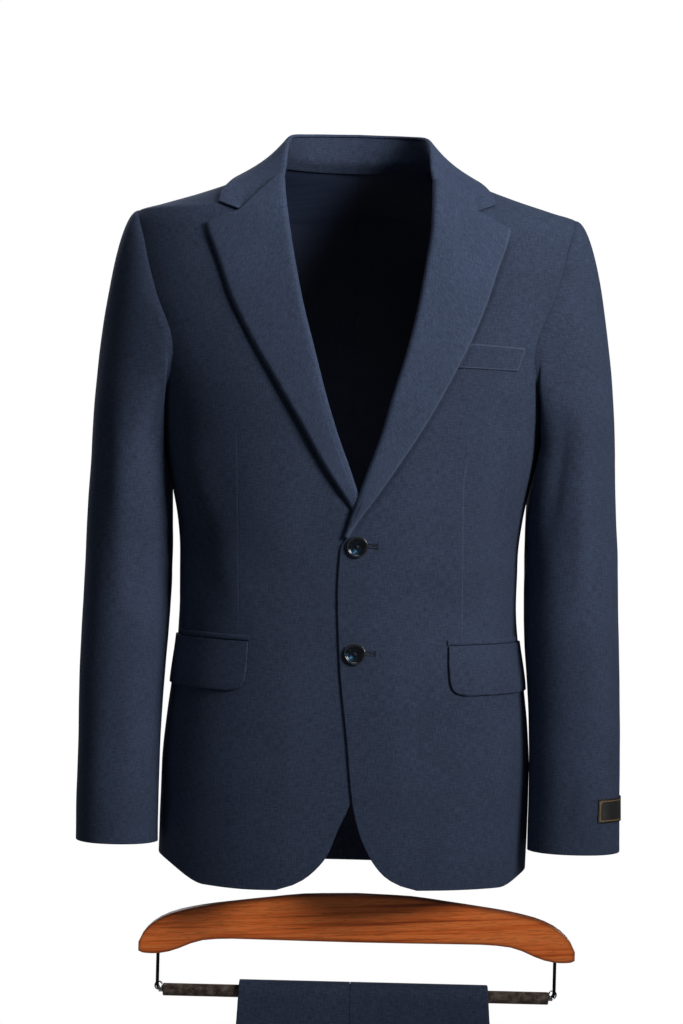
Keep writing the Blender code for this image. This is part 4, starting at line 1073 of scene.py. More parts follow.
lapelSet = {
    "flat": {-1: (0.12, 0.36), 1: (0.12, 0.40)},
    "puffTop": 3.4,
    "puffEnd": 1.0,
    "notch": {-1: (115.6, -87.6), 1: (119.1, -84.1)},
    "notchShare": 0.52,  # of the top edge, from the roll to the notch
    "rollWide": 3.2,  # the fold's width on the outside, less where the lapel is narrower than fullWidth
    "fullWidth": 7.0,
    "edgeRoll": 5.0,  # the outer edge rolls down to the front over this width
    "edgeRise": 1.9,
    "standOff": {-1: 2.6, 1: 0.6},  # the lower part stands off the front by this much more
}


def onFront(side, out, height, lift, face=-1):
    x = side * out + leanAt(height)
    return cloth(side, angleAtX(x, height, face), height, lift)[0]


def bezier(ends, shares):
    a, b, c, d = (np.asarray(end, float) for end in ends)
    t = shares
    return a * (1 - t) ** 3 + 3 * b * t * (1 - t) ** 2 + 3 * c * t * t * (1 - t) + d * t**3


def makeLapel(side, word):
    rows = lapelRows[side]
    last = float(rows["row"][-1])
    at = np.concatenate((np.linspace(0, 0.3, 5)[:-1], np.linspace(0.3, last, 100)))[:, None]
    rollX, rollZ, edgeX, edgeZ = (read(rows, name, at) for name in lapelColumns.split()[1:])
    puff = lerp(lapelSet["puffTop"], lapelSet["puffEnd"], at / last)
    width = np.hypot(edgeX - rollX, edgeZ - rollZ)
    raised = lapelSet["edgeRise"] * ease(3.0, 16.0, width)
    high = laid + puff + 0.3 + raised
    size = np.minimum(1.0, width / lapelSet["fullWidth"])
    turn = np.linspace(0, 1, 11)[None, :-1]
    rollOut = bezier((1.3, -2.6, -2.6, lapelSet["rollWide"]), turn) * size + rollX
    rollLift = bezier((0.0, -0.2, high + 0.2, high), turn)
    share = np.concatenate((np.linspace(0, 0.9, 22), np.linspace(0.9, 1, 5)[1:]))[None, :]
    startX = rollX + lapelSet["rollWide"] * size
    straightX, straightZ = lerp(startX, edgeX, share), lerp(rollZ, edgeZ, share)
    # the first row runs down to the notch and then up to the lapel's point
    notchX, notchZ = lapelSet["notch"][side]
    split = lapelSet["notchShare"]
    first, second = np.minimum(share / split, 1.0), np.maximum((share - split) / (1 - split), 0.0)
    bentX = np.where(share <= split, lerp(startX[0], notchX, first), lerp(notchX, edgeX[0], second))
    bentZ = np.where(share <= split, lerp(rollZ[0], notchZ, first), lerp(notchZ, edgeZ[0], second))
    fade = ease(1.5, 0.0, at)
    x = straightX + (bentX - straightX[:1]) * fade
    z = straightZ + (bentZ - straightZ[:1]) * fade
    fromEdge = (1 - share) * width
    rolled = ease(0.0, 1.0, np.minimum(1.0, fromEdge / lapelSet["edgeRoll"]) * 0.5 + 0.5) * 2 - 1
    standOff = lapelSet["standOff"][side] * ease(3.5, 6.5, at) * ease(last, last - 1.3, at)
    lift = laid + 0.3 + puff * (1 - share) ** 1.3 + raised * rolled + standOff * np.sqrt(share)
    rollZs = np.broadcast_to(rollZ, rollOut.shape)
    points = onFront(
        side, np.concatenate((rollOut, x), axis=1), np.concatenate((rollZs, z), axis=1),
        np.concatenate((rollLift, lift), axis=1))
    fromRoll = runAlong(points, 1)
    along = runAlong(points[:, -1])[:, None] * np.ones(fromRoll.shape)
    maps = {"cloth": stack(fromRoll, along) * mm, "edge": stack(along, fromRoll[:, -1:] - fromRoll) * mm}
    makeSheet("lapel" + word, points, -gridNormals(points) * side, maps, lapelSet["flat"][side], "folded",
              ["front_" + word.lower()], outer=paintedLightEdgedWool if side > 0 else paintedLightStitchedWool, inner=wool,
              edges=(turnedEdge, turnedEdge, turnedEdge, seamEdge))


collarSet = {
    "drop": 3.2, "lift": 2.0,
    "tip": {-1: (139.6, -78.2), 1: (138.8, -74.5)},
    "gorgeStart": {-1: (76.0, -51.2), 1: (77.2, -52.0)}, "gorgeGap": 0.9, "notchShare": 0.62,
    "fallFlat": (0.47, 0.085), "standFlat": (0.34, 0.035),
}
collarRows = table(
    "row foldOut foldForward foldHeight edgeOut edgeHeight edgeFace",
    (0, 0, -60, 10, 0, -37, 1), (1, 20, -58, 9.5, 29, -37, 1), (2, 39, -51, 8.5, 56, -37.5, 1),
    (3, 55, -38, 6.5, 80, -38, 1), (4, 66, -21, 4, 99, -39.5, 1), (5, 72, -2, 0, 115, -44, -1),
    (6, 74.5, 17, -9, 124, -50.5, -1), (7, 75.5, 31, -21, 131, -58.5, -1), (8, 76, 43, -34, 136, -66.5, -1))


def splineAlong(stations, values, at):
    # values at whole stations, read in between on a smooth curve
    shape = values.shape[1:]
    columns = values.reshape(len(values), -1)
    found = [read({"row": stations, "value": columns[:, i]}, "value", at) for i in range(columns.shape[1])]
    return np.stack(found, axis=-1).reshape((len(at),) + shape)


def collarFoldPoints():
    return stack(collarRows["foldOut"], -collarRows["foldForward"], collarRows["foldHeight"])


def mirrored(half, otherHalf=None):
    other = (half if otherHalf is None else otherHalf)[:0:-1].copy()
    other[..., 0] *= -1
    return np.concatenate((other, half))


def halfFall(side):
    # one half of the fall, drawn as the wearer's left one
    shares = np.linspace(0.08, 1, 20)[:, None]
    fold = collarFoldPoints()
    stationCurves = []
    for k in range(10):
        if k < 9:
            top = fold[k]
            face = int(collarRows["edgeFace"][k])
            height = float(collarRows["edgeHeight"][k])
            out = min(float(collarRows["edgeOut"][k]), float(read(bodyRings, "halfWidth", height)) - 0.5)
            angle = angleAtX(out, height, face)
            edge = bodyPoint(angle, height) + bodyNormal(angle, height) * (laid + collarSet["lift"])
            outward = unit(np.array((top[0], top[1], 0.0)))
            drop = np.sin(np.pi * shares) * collarSet["drop"]
            fall = lerp(top, edge, shares) - (outward * 0.8 + np.array((0, 0, 0.6))) * drop
        else:
            start, tip = (np.array(collarSet[name][side]) for name in ("gorgeStart", "tip"))
            notch = np.array(lapelSet["notch"][side]) + (0, collarSet["gorgeGap"])
            share = collarSet["notchShare"]
            at = np.where(shares <= share, lerp(start, notch, shares / share),
                          lerp(notch, tip, (shares - share) / (1 - share)))
            fall = onFront(1, at[:, 0], at[:, 1], laid + 2.4 * (1 - shares[:, 0]))
            top = onFront(1, start[0], start[1], laid + 2.4)
            outward = unit(np.array((fold[8][0], fold[8][1], 0.0)))
        up = np.array((0, 0, 1.0))
        ends = (top - outward * 2.4 - up * 1.7, top - outward * 2.6 + up * 0.9,
                top - outward * 0.9 + up * 1.5, fall[0])
        roll = bezier([end[None, :] for end in ends], np.linspace(0, 1, 9)[:-1, None])
        stationCurves.append(np.concatenate((roll, fall)))
    at = np.concatenate((np.linspace(0, 8, 60), np.linspace(8, 9, 7)[1:]))
    return splineAlong(np.arange(10.0), np.array(stationCurves), at)


def collarNormals(points, column):
    # outwards, which is backwards at the middle of the back
    normals = gridNormals(points)
    return normals * math.copysign(1, normals[len(points) // 2, column, 1])


def makeCollarFall():
    points = mirrored(halfFall(1), halfFall(-1))
    run = runAlong(points[:, -1])
    along = (run - run[-1] / 2)[:, None] * np.ones(points.shape[:2])
    fromFold = runAlong(points, 1)
    maps = {"cloth": stack(along, fromFold) * mm, "edge": stack(along, fromFold[:, -1:] - fromFold) * mm}
    makeSheet("collarFall", points, collarNormals(points, -3), maps, collarSet["fallFlat"], "folded",
              ["collar_stand"], outer=paintedLightStitchedWool, inner=wool,
              edges=(turnedEdge, turnedEdge, turnedEdge, seamEdge))


def makeCollarStand():
    fold = collarFoldPoints()
    inward = unit(fold * (1, 1, 0))
    top = fold - (0, 0, 2.4) - inward * (clothSet["wall"] + 1.4 * clothSet["seam"])
    angle = np.arctan2(collarRows["foldOut"], collarRows["foldForward"])
    foot = bodyPoint(angle, np.full(9, -20.0)) - inward * laid
    short = (collarRows["foldHeight"] < -6)[:, None]
    foot = np.where(short, lerp(top, foot, 0.5), foot)
    hidden = bodyPoint(angle, np.full(9, -28.0)) - bodyNormal(angle, np.full(9, -28.0)) * (laid - 0.4)
    hidden = np.where(short, foot, hidden)  # the foot goes on inside the neckline
    curves = [lerp(top, foot, t) - inward * 0.5 * math.sin(math.pi * t) for t in np.linspace(0, 1, 9)]
    curves = np.stack(curves + [lerp(foot, hidden, t) for t in (0.35, 0.7, 1.0)], axis=1)
    kept = np.array((1, 1, 1, 1, 1, 0.9, 0.5, 0.06, 0.06))[:, None, None]  # it runs out under the fold
    curves = lerp(curves[:, :1], curves, kept)
    points = mirrored(splineAlong(np.arange(9.0), curves, np.linspace(0, 7, 64)))
    along = runAlong(points[:, 0])[:, None]
    maps = {"cloth": stack(along, np.linspace(0, 30, points.shape[1])) * mm}
    makeSheet("collarStand", points, collarNormals(points, 4), maps, collarSet["standFlat"], "stretched",
              inner=wool)


for side, word in sides:
    makeLapel(side, word)
makeCollarFall()
makeCollarStand()
print("lapels and collar made")


# pockets, label

pocketSet = {
    "start": {-1: 97.0, 1: 100.0}, "rise": 3.0,
    "flapDepth": 6.0, "flapCrown": 0.5, "flapFlat": (0.15, 0.055),
    "jetting": (-509.5, -515.0), "jettingDepth": 15.0, "jettingThick": 1.0, "jettingCrown": 0.35,
    "jettingFlat": (0.15, 0.012),
}
flapRows = table("height out", (-565, 118), (-563, 110), (-559, 105), (-551, 102), (-536, 100.5), (-516, 100))


def pocketGrid(side, heights, outs, lift, endDepth, sunk):
    shares = np.linspace(0, 1, 37)
    level = heights[:, None] + pocketSet["rise"] * shares
    start = angleAtX(side * outs[:, None], level, -1)
    end = angleAtY(np.full(level.shape, -endDepth), level, side)
    angle = lerp(start, end, shares)
    lift = lift * (1 - sunk * ease(0.80, 1.0, shares))  # it lies closer towards the side
    return *cloth(side, angle, level, lift), {"cloth": grainOf(angle, level)}


def makePocket(side, word):
    rests = ["front_" + word.lower()]
    heights = np.concatenate((np.linspace(-516, -551, 10), np.linspace(-551, -565, 12)[1:]))
    crown = pocketSet["flapCrown"] * np.sin(np.pi * np.linspace(0.05, 0.95, len(heights)))[:, None]
    start = pocketSet["start"][side]
    outs = read(flapRows, "out", heights) - flapRows["out"][-1] + start
    makeSheet("flap" + word, *pocketGrid(side, heights, outs, laid + crown, pocketSet["flapDepth"], 0.35),
              pocketSet["flapFlat"], "hung", rests, edges=(seamEdge, seamEdge, turnedEdge, turnedEdge))
    heights = np.linspace(*pocketSet["jetting"], 6)
    crown = pocketSet["jettingCrown"] * np.sin(np.pi * np.linspace(0, 1, 6))[:, None]
    lift = clothSet["wall"] / 2 + clothSet["clear"] + 0.5 + crown
    makeSheet("jetting" + word,
              *pocketGrid(side, heights, np.full(6, start - 1), lift, pocketSet["jettingDepth"], 0.9),
              pocketSet["jettingFlat"], "stretched", rests,
              thickness=pocketSet["jettingThick"], edges=(0.45,) * 4)


weltSet = {
    "corners": ((115.0, -215.5), (170, -217.5), (163, -240.5), (103.4, -240)),
    "thick": 1.4, "clear": 0.35, "flat": (0.062, 0.027),
}


def fromEdges(u, v):
    return np.minimum(np.minimum(u, u[:, -1:] - u), np.minimum(v, v[-1:] - v))


def makeWelt():
    topIn, topOut, lowOut, lowIn = (np.array(corner, float) for corner in weltSet["corners"])
    down = np.linspace(0, 1, 9)[:, None, None]
    across = np.linspace(0, 1, 17)[None, :, None]
    at = lerp(lerp(topIn, lowIn, down), lerp(topOut, lowOut, down), across)
    x, height = at[..., 0], at[..., 1]
    angle = angleAtX(x, height, -1)
    points, normals = cloth(1, angle, height, clothSet["wall"] / 2 + weltSet["clear"] + weltSet["thick"] / 2)
    down, across = (np.linalg.norm(points[edge] - points[first], axis=-1).max() for edge, first in (
        (np.s_[-1], np.s_[0]), (np.s_[:, -1], np.s_[:, 0])))
    u, v = np.meshgrid(np.linspace(0, across, 17), np.linspace(0, down, 9))
    maps = {"cloth": grainOf(angle, height), "edge": stack(u, fromEdges(u, v)) * mm}
    makeSheet("breastWelt", points, normals, maps, weltSet["flat"], "stretched", ["front_left"],
              thickness=weltSet["thick"], edges=(0.65,) * 4, outer=weltWool)


labelSet = {"low": -690.0, "high": -666.0, "start": 68.0, "end": -38.0, "thick": 0.8, "flat": (0.10, 0.025)}


def makeLabel():
    turns = np.linspace(labelSet["start"], labelSet["end"], 33)
    heights = np.linspace(labelSet["high"], labelSet["low"], 9)[:, None] * np.ones(len(turns))
    step = np.broadcast_to(turns / 360 * armhole["steps"], heights.shape)
    around = sleeveSection(1, step + 0.3, heights) - sleeveSection(1, step - 0.3, heights)
    along = sleeveSection(1, step, heights - 5) - sleeveSection(1, step, heights + 5)
    normals = unit(np.cross(around, along))
    depth = sleeveCreaseDepth(1, step * 360 / armhole["steps"], heights)
    depth += unevenness(turns * sleeveSet["degree"] + 40, heights)
    lift = clothSet["wall"] / 2 + clothSet["clear"] + 0.3 + np.maximum(depth, -0.4)
    points = sleeveSection(1, step, heights) + normals * lift[..., None]
    u, v = runAlong(points[4]) * np.ones(heights.shape), labelSet["high"] - heights
    maps = {"cloth": stack(u, v) * mm, "edge": stack(u, fromEdges(u, v)) * mm}
    makeSheet("sleeveLabel", points, normals, maps, labelSet["flat"], "stretched", ["top_sleeve_left"],
              thickness=labelSet["thick"], edges=(0.35,) * 4, outer=labelTape, inner=labelTape)


for side, word in sides:
    makePocket(side, word)
makeWelt()
makeLabel()
print("pockets and label made")


# modelling by hand

def only(*pieces):
    # nothing else stays selected
    bpy.ops.object.select_all(action="DESELECT")
    for piece in pieces:
        piece.select_set(True)
        bpy.context.view_layer.objects.active = pieces[0]


def editAll():
    bpy.ops.object.mode_set(mode="EDIT")
    bpy.ops.mesh.select_all(action="SELECT")


def endEdit():
    bpy.ops.object.mode_set(mode="OBJECT")


def placeInMesh():
    bpy.ops.object.transform_apply(location=True, rotation=True, scale=True)


def closeMesh():
    # welds what was drawn out and turns its faces outwards
    bpy.ops.mesh.select_all(action="SELECT")
    bpy.ops.mesh.remove_doubles(threshold=0.00001)
    bpy.ops.mesh.normals_make_consistent(inside=False)
    endEdit()


def smooth(piece, degrees):
    only(piece)
    bpy.ops.object.shade_smooth_by_angle(angle=math.radians(degrees))


def roundEdges(piece, width, segments, degrees):
    rounded = piece.modifiers.new("rounded", "BEVEL")
    rounded.width = width * mm
    rounded.segments = segments
    rounded.limit_method = "ANGLE"
    rounded.angle_limit = math.radians(degrees)
    only(piece)
    bpy.ops.object.modifier_apply(modifier="rounded")


def pickFaces(piece, test):
    # selects the faces whose centre and normal pass the test
    bpy.ops.object.mode_set(mode="EDIT")
    bpy.ops.mesh.select_mode(type="FACE")
    bpy.ops.mesh.select_all(action="DESELECT")
    endEdit()
    for face in piece.data.polygons:
        face.select = bool(test(face.center, face.normal))
    bpy.ops.object.mode_set(mode="EDIT")


def finishPiece(piece, name, material, slotName, *nodes):
    # the place goes into the mesh, and the piece rides on the body
    piece.name = name
    piece.data.transform(piece.matrix_world)
    piece.matrix_world = Matrix.Identity(4)
    if material:
        piece.data.materials.append(material)
    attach(piece, "root")
    if nodes:
        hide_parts(*nodes)


def joined(name, pieces):
    only(*pieces)
    bpy.ops.object.join()
    pieces[0].name = name
    pieces[0].data.name = name
    return pieces[0]


buttonSet = {
    "radius": 10.6, "thick": 3.4, "rimWide": 1.7, "bevel": 0.7,
    "dish": 1.1, "dishSlope": 0.8, "middle": 0.25,  # how deep, over what width, how much more in the middle
    "holeRadius": 0.95, "holeOut": 2.1,
    "heights": {"Upper": -419.0, "Lower": -525.0}, "turns": {"Upper": 14, "Lower": -9}, "stand": 0.3,
    "threadRadius": 0.30, "threadShift": 0.32, "threadRise": 0.55, "threadOver": 0.35,
}
holeWay = buttonSet["holeOut"] * mm * math.sqrt(0.5)


def makeButton():
    # a turned disc: the face is inset for the rim and pushed in for the dish
    radius, thick = buttonSet["radius"] * mm, buttonSet["thick"] * mm
    only()
    bpy.ops.mesh.primitive_cylinder_add(vertices=72, radius=radius, depth=thick, location=(0, 0, thick / 2))
    piece = bpy.context.object
    placeInMesh()
    pickFaces(piece, lambda centre, normal: normal.z > 0.9)
    bpy.ops.mesh.inset(thickness=buttonSet["rimWide"] * mm)
    bpy.ops.mesh.inset(thickness=buttonSet["dishSlope"] * mm, depth=-buttonSet["dish"] * mm)
    bpy.ops.mesh.inset(thickness=2.6 * mm, depth=-buttonSet["middle"] * mm)
    endEdit()
    roundEdges(piece, buttonSet["bevel"], 4, 28)
    drills = []
    for x, y in ((1, 1), (-1, 1), (-1, -1), (1, -1)):
        only()
        bpy.ops.mesh.primitive_cylinder_add(
            vertices=20, radius=buttonSet["holeRadius"] * mm, depth=0.01,
            location=(x * holeWay, y * holeWay, thick / 2))
        drills.append(bpy.context.object)
    drill = joined("buttonDrill", drills)
    cut = piece.modifiers.new("holes", "BOOLEAN")
    cut.operation = "DIFFERENCE"
    cut.object = drill
    only(piece)
    bpy.ops.object.modifier_apply(modifier="holes")
    bpy.data.objects.remove(drill)
    smooth(piece, 32)
    layer = piece.data.uv_layers.active or piece.data.uv_layers.new(name="face")
    layer.name = "face"
    for loop in piece.data.loops:
        at = piece.data.vertices[loop.vertex_index].co
        layer.data[loop.index].uv = (at.x / radius, at.y / radius)
    piece.data.materials.append(resin)
    return piece


def makeStitches():
    # the crossed thread in the four holes, each strand an arched tube
    strands = []
    half = holeWay * math.sqrt(2)
    base = (buttonSet["thick"] - buttonSet["dish"] - buttonSet["middle"]) * mm
    for x, y, over in ((1, 1, 0.0), (-1, 1, buttonSet["threadOver"])):
        angle = math.atan2(y, x)
        for shift in (-buttonSet["threadShift"], buttonSet["threadShift"]):
            only()
            bpy.ops.mesh.primitive_cylinder_add(
                vertices=10, radius=buttonSet["threadRadius"] * mm, depth=2 * half, end_fill_type="NGON")
            strand = bpy.context.object
            editAll()
            bpy.ops.mesh.subdivide(number_cuts=6)
            endEdit()
            for vertex in strand.data.vertices:
                along, across, lift = vertex.co.z, vertex.co.x + shift * mm, vertex.co.y
                reach = along / half
                rise = (buttonSet["threadRise"] + over) * mm * (1 - reach**4)
                rise -= 0.9 * mm * max(0.0, abs(reach) - 0.8)
                vertex.co = (
                    along * math.cos(angle) - across * math.sin(angle),
                    along * math.sin(angle) + across * math.cos(angle), base + lift + rise)
            strands.append(strand)
    piece = joined("buttonStitches", strands)
    smooth(piece, 50)
    piece.data.materials.append(thread)
    return piece


def frontFrame(x, height, lift, side=1):
    # a place on the front, with its X along the cloth, its Y up and its Z outwards
    angle = angleAtX(float(x), float(height), -1)
    point, normal = cloth(side, np.array(float(angle)), np.array(float(height)), lift)
    z = Vector(normal).normalized()
    across = Vector((1, 0, 0))
    x = (across - across.dot(z) * z).normalized()
    turned = Matrix((x, z.cross(x), z)).transposed().to_4x4()
    return Matrix.Translation(Vector(point) * mm) @ turned


def copyOf(source, name, matrix):
    piece = source.copy()
    piece.data = source.data.copy()
    piece.name = name
    piece.data.name = name
    piece.data.transform(matrix)
    bpy.context.scene.collection.objects.link(piece)
    return piece


def makeButtons():
    button, stitches = makeButton(), makeStitches()
    for word, height in buttonSet["heights"].items():
        place = frontFrame(bodySet["buttonSide"], height, clothSet["wall"] / 2 + buttonSet["stand"])
        turned = place @ Matrix.Rotation(math.radians(buttonSet["turns"][word]), 4, "Z")
        name = "button" + word
        finishPiece(copyOf(button, name, turned), name, None, "horn", "button_" + word.lower())
        name = "buttonStitches" + word
        finishPiece(copyOf(stitches, name, turned), name, None, "navy_wool")
    for source in (button, stitches):
        bpy.data.objects.remove(source)


# a buttonhole's rows from its middle, and the bar across its end
buttonholeSet = {
    "row": 1.9, "stitchEvery": 0.8, "bar": 5.6, "length": 21.0,
    "lapel": (117.0, -110.0), "lapelLength": 9.0, "lapelTurn": 12,
}


def makeStitch():
    # one purl of a buttonhole: a small rounded lozenge, a dozen faces round
    only()
    bpy.ops.mesh.primitive_uv_sphere_add(segments=8, ring_count=6, radius=0.5 * mm)
    stitch = bpy.context.object
    editAll()
    bpy.ops.transform.resize(value=(0.72, 1.9, 0.62))
    endEdit()
    smooth(stitch, 60)
    stitch.data.materials.append(thread)
    return stitch


def makeButtonhole(stitch, name, x, height, length, lift, angle=0.0):
    place = frontFrame(x, height, lift) @ Matrix.Rotation(angle, 4, "Z")
    parts = []
    count = int(length / buttonholeSet["stitchEvery"])
    for i in range(count + 1):
        along = i * length / count
        for row, deep in ((-1, 0.1), (0, -0.25), (1, 0.1)):
            shift = Matrix.Translation(Vector((along, row * buttonholeSet["row"], deep)) * mm)
            parts.append(copyOf(stitch, name, place @ shift))
    for i in range(6):
        up = (i - 2.5) * buttonholeSet["bar"] / 5
        shift = Matrix.Translation(Vector((length + 0.9, up, 0.1)) * mm)
        parts.append(copyOf(stitch, name, place @ shift @ Matrix.Rotation(math.pi / 2, 4, "Z")))
    finishPiece(joined(name, parts), name, None, "navy_wool")


def makeButtonholes():
    stitch = makeStitch()
    top = clothSet["wall"] / 2
    for word, height in buttonSet["heights"].items():
        makeButtonhole(stitch, "buttonhole" + word, bodySet["buttonSide"] - 1, height + 1,
                       buttonholeSet["length"], top)
    makeButtonhole(stitch, "lapelButtonhole", *buttonholeSet["lapel"], buttonholeSet["lapelLength"],
                   laid + top + 2.4, math.radians(buttonholeSet["lapelTurn"]))
    bpy.data.objects.remove(stitch)


makeButtons()
makeButtonholes()
print("buttons and buttonholes made")


# the hanger

hangerSet = {
    "side": 17.5, "forward": 45.0, "thick": 15.0, "round": 2.6, "wireOut": 201.3, "wireRadius": 1.7,
    "columns": (0, 18, 36, 54, 72, 90, 108, 126, 142, 156, 168, 180, 190, 199, 206.5, 212.5, 217, 221),
    "eye": (3.9, 0.8),  # its radius and its rod's
    "ferrule": (2.6, 4.0),  # radius and depth of the bar's cap
}
hangerRows = table(
    "out top bottom", (0, -772.0, -820.5), (50, -773.5, -820.3), (90, -778.0, -820.0), (125, -782.5, -819.8),
    (150, -786.0, -821.0), (168, -789.5, -825.5), (182, -793.0, -831.5), (196, -798.5, -835.5),
    (207, -805.5, -836.5), (216, -815.0, -836.0), (221, -825.0, -834.0))
barSet = {"height": -873.5, "radius": 6.35, "half": 195.5, "bend": 6.0}


def makeHanger():
    # a grid drawn out to the board's outline, extruded to its thickness and rounded along its edges
    half = np.array(hangerSet["columns"], float)
    outs = np.concatenate((-half[:0:-1], half))
    only()
    bpy.ops.mesh.primitive_grid_add(x_subdivisions=len(outs) - 1, y_subdivisions=6, size=2)
    piece = bpy.context.object
    front = -hangerSet["forward"] - hangerSet["thick"] / 2
    for vertex in piece.data.vertices:
        column = round((vertex.co.x + 1) / 2 * (len(outs) - 1))
        row = round((vertex.co.y + 1) / 2 * 6)
        top = float(read(hangerRows, "top", abs(outs[column])))
        bottom = float(read(hangerRows, "bottom", abs(outs[column])))
        share = (0.0, 4.2, 10.0, 0.5, -10.0, -4.2, 1.0)[row]
        tall = top - bottom
        if abs(share) > 1:
            share = share / 48 if tall > 40 else share / 48 * (1 + (40 - tall) / 28)
            share = share if share > 0 else 1 + share
        vertex.co = Vector((hangerSet["side"] + outs[column], front, lerp(bottom, top, share))) * mm
    editAll()
    bpy.ops.mesh.extrude_region_move(TRANSFORM_OT_translate={"value": (0, hangerSet["thick"] * mm, 0)})
    closeMesh()
    roundEdges(piece, hangerSet["round"], 6, 45)
    smooth(piece, 40)
    # painted shade: rimShade is 1 on the narrow faces and near the outline, where the wood is drawn darker
    rimShade = piece.data.attributes.new("rim", "FLOAT", "POINT")
    for vertex in piece.data.vertices:
        depth = hangerSet["thick"] / 2 * mm - abs(vertex.co.y + hangerSet["forward"] * mm)
        out = min(abs(vertex.co.x / mm - hangerSet["side"]), 221.0)
        top, bottom = float(read(hangerRows, "top", out)), float(read(hangerRows, "bottom", out))
        inward = min(top - vertex.co.z / mm, vertex.co.z / mm - bottom, (221.5 - out) * 1.5)
        shade = max(float(ease(4.5, 0.5, inward)), float(ease(0.0003, 0.002, depth)))
        rimShade.data[vertex.index].value = shade
    finishPiece(piece, "hangerWood", beech, "varnished_wood", "hanger_wood")


def makeBar():
    only()
    bpy.ops.mesh.primitive_cylinder_add(
        vertices=56, radius=barSet["radius"] * mm, depth=2 * barSet["half"] * mm,
        location=Vector((hangerSet["side"], -hangerSet["forward"], barSet["height"])) * mm,
        rotation=(0, math.pi / 2, 0))
    piece = bpy.context.object
    placeInMesh()
    pickFaces(piece, lambda centre, normal: abs(normal.x) > 0.9)
    bpy.ops.mesh.bevel(offset=1.2 * mm, segments=4, affect="EDGES")
    endEdit()
    pickFaces(piece, lambda centre, normal: abs(normal.x) > 0.99)
    bpy.ops.mesh.inset(thickness=1.2 * mm)
    endEdit()
    smooth(piece, 35)
    finishPiece(piece, "trouserBar", flock, "flock", "trouser_bar")


def makeWire(side, word):
    # a rod drawn down from a small disc, spun round its bend and drawn into the bar's end
    radius, bend = hangerSet["wireRadius"] * mm, barSet["bend"] * mm
    x = (hangerSet["side"] + side * hangerSet["wireOut"]) * mm
    y = -hangerSet["forward"] * mm
    top = (float(read(hangerRows, "bottom", hangerSet["wireOut"])) - 0.6) * mm
    low = barSet["height"] * mm + bend
    only()
    bpy.ops.mesh.primitive_circle_add(vertices=20, radius=radius, fill_type="NGON", location=(x, y, top))
    piece = bpy.context.object
    placeInMesh()
    editAll()
    bpy.ops.mesh.extrude_region_move(TRANSFORM_OT_translate={"value": (0, 0, low - top)})
    bpy.ops.mesh.spin(steps=10, angle=-side * math.pi / 2, center=(x - side * bend, y, low), axis=(0, 1, 0))
    end = (hangerSet["side"] + side * (barSet["half"] + 0.3)) * mm
    bpy.ops.mesh.extrude_region_move(TRANSFORM_OT_translate={"value": (end - (x - side * bend), 0, 0)})
    closeMesh()
    smooth(piece, 40)
    finishPiece(piece, "hangerWire" + word, blackSteel, "chrome", "hanger_wire_" + word.lower())
    # the bright eye where the rod turns into the bar
    only()
    bpy.ops.mesh.primitive_torus_add(
        major_segments=32, minor_segments=10,
        major_radius=hangerSet["eye"][0] * mm, minor_radius=hangerSet["eye"][1] * mm,
        location=(x - side * 1.5 * mm, y, low - bend * 0.35),
        rotation=(math.radians(78), 0, math.radians(side * 16)))
    eye = bpy.context.object
    smooth(eye, 60)
    finishPiece(eye, "wireEye" + word, brightSteel, "chrome")
    ferruleRadius, deep = hangerSet["ferrule"]
    only()
    bpy.ops.mesh.primitive_cylinder_add(
        vertices=24, radius=ferruleRadius * mm, depth=deep * mm, rotation=(0, math.pi / 2, 0),
        location=(end + side * deep / 2 * mm, y, barSet["height"] * mm))
    ferrule = bpy.context.object
    placeInMesh()
    pickFaces(ferrule, lambda centre, normal: abs(normal.x) > 0.9)
    bpy.ops.mesh.bevel(offset=0.5 * mm, segments=3, affect="EDGES")
    endEdit()
    smooth(ferrule, 35)
    finishPiece(ferrule, "barFerrule" + word, brightSteel, "chrome")


makeHanger()
makeBar()
for side, word in sides:
    makeWire(side, word)
print("hanger made")


# the trousers

trouserSet = {
    "core": 3.4, "leg": 1.6, "band": 2.4,  # thickness of the hidden layers, the panels and the waistband
    "gap": 0.3, "layers": 3, "bandHeight": 38.0, "pressedBelow": 75.0,
    "frontFlat": (0.13, 1.06), "backFlat": (0.19, 1.06),
    "bandFlat": (0.25, 0.038), "hiddenFlat": (0.30, 1.06),
}
# half the length that lies on the bar
overBar = math.pi / 2 * (barSet["radius"] + trouserSet["gap"] + trouserSet["core"] / 2)
legRows = table(
    "along frontCrease backCrease seam", (-560, -74.0, 126.0, 22.0), (-400, -82.0, 134.0, 20.0),
    (-250, -89.0, 139.0, 17.0), (-100, -95.0, 145.0, 13.0), (0, -100.5, 151.0, 11.7),
    (40, -102.5, 154.0, 12.0), (120, -108.0, 166.0, 14.0), (210, -112.0, 187.0, 18.0),
    (270, -110.0, 186.0, 20.0), (350, -104.0, 170.0, 22.0),
    (440, -98.0, 148.0, 24.0), (492, -96.0, 140.0, 24.0))


def legPath(along, off):
    # the middle of a layer: over the bar and down on both sides; the waist hangs in front
    radius = barSet["radius"] + trouserSet["gap"] + off
    side = np.where(along > 0, -1.0, 1.0)
    drop = np.abs(along) - overBar
    turn = np.clip(along / overBar, -1, 1) * math.pi / 2
    away = lerp(radius, 0.35 + off, ease(0, trouserSet["pressedBelow"], drop))
    y = -hangerSet["forward"] + np.where(drop <= 0, -radius * np.sin(turn), side * away)
    z = barSet["height"] + np.where(drop <= 0, radius * np.cos(turn), -drop)
    return y, z


def legLevels(start, end):
    # closer together where the cloth bends over the bar
    if start > overBar:
        return np.linspace(start, end, max(3, int((end - start) / 4)))
    return np.concatenate((
        np.linspace(start, -overBar, max(2, int((-overBar - start) / 5))),
        np.linspace(-overBar, overBar, 19)[1:-1],
        np.linspace(overBar, end, int((end - overBar) / 5))))


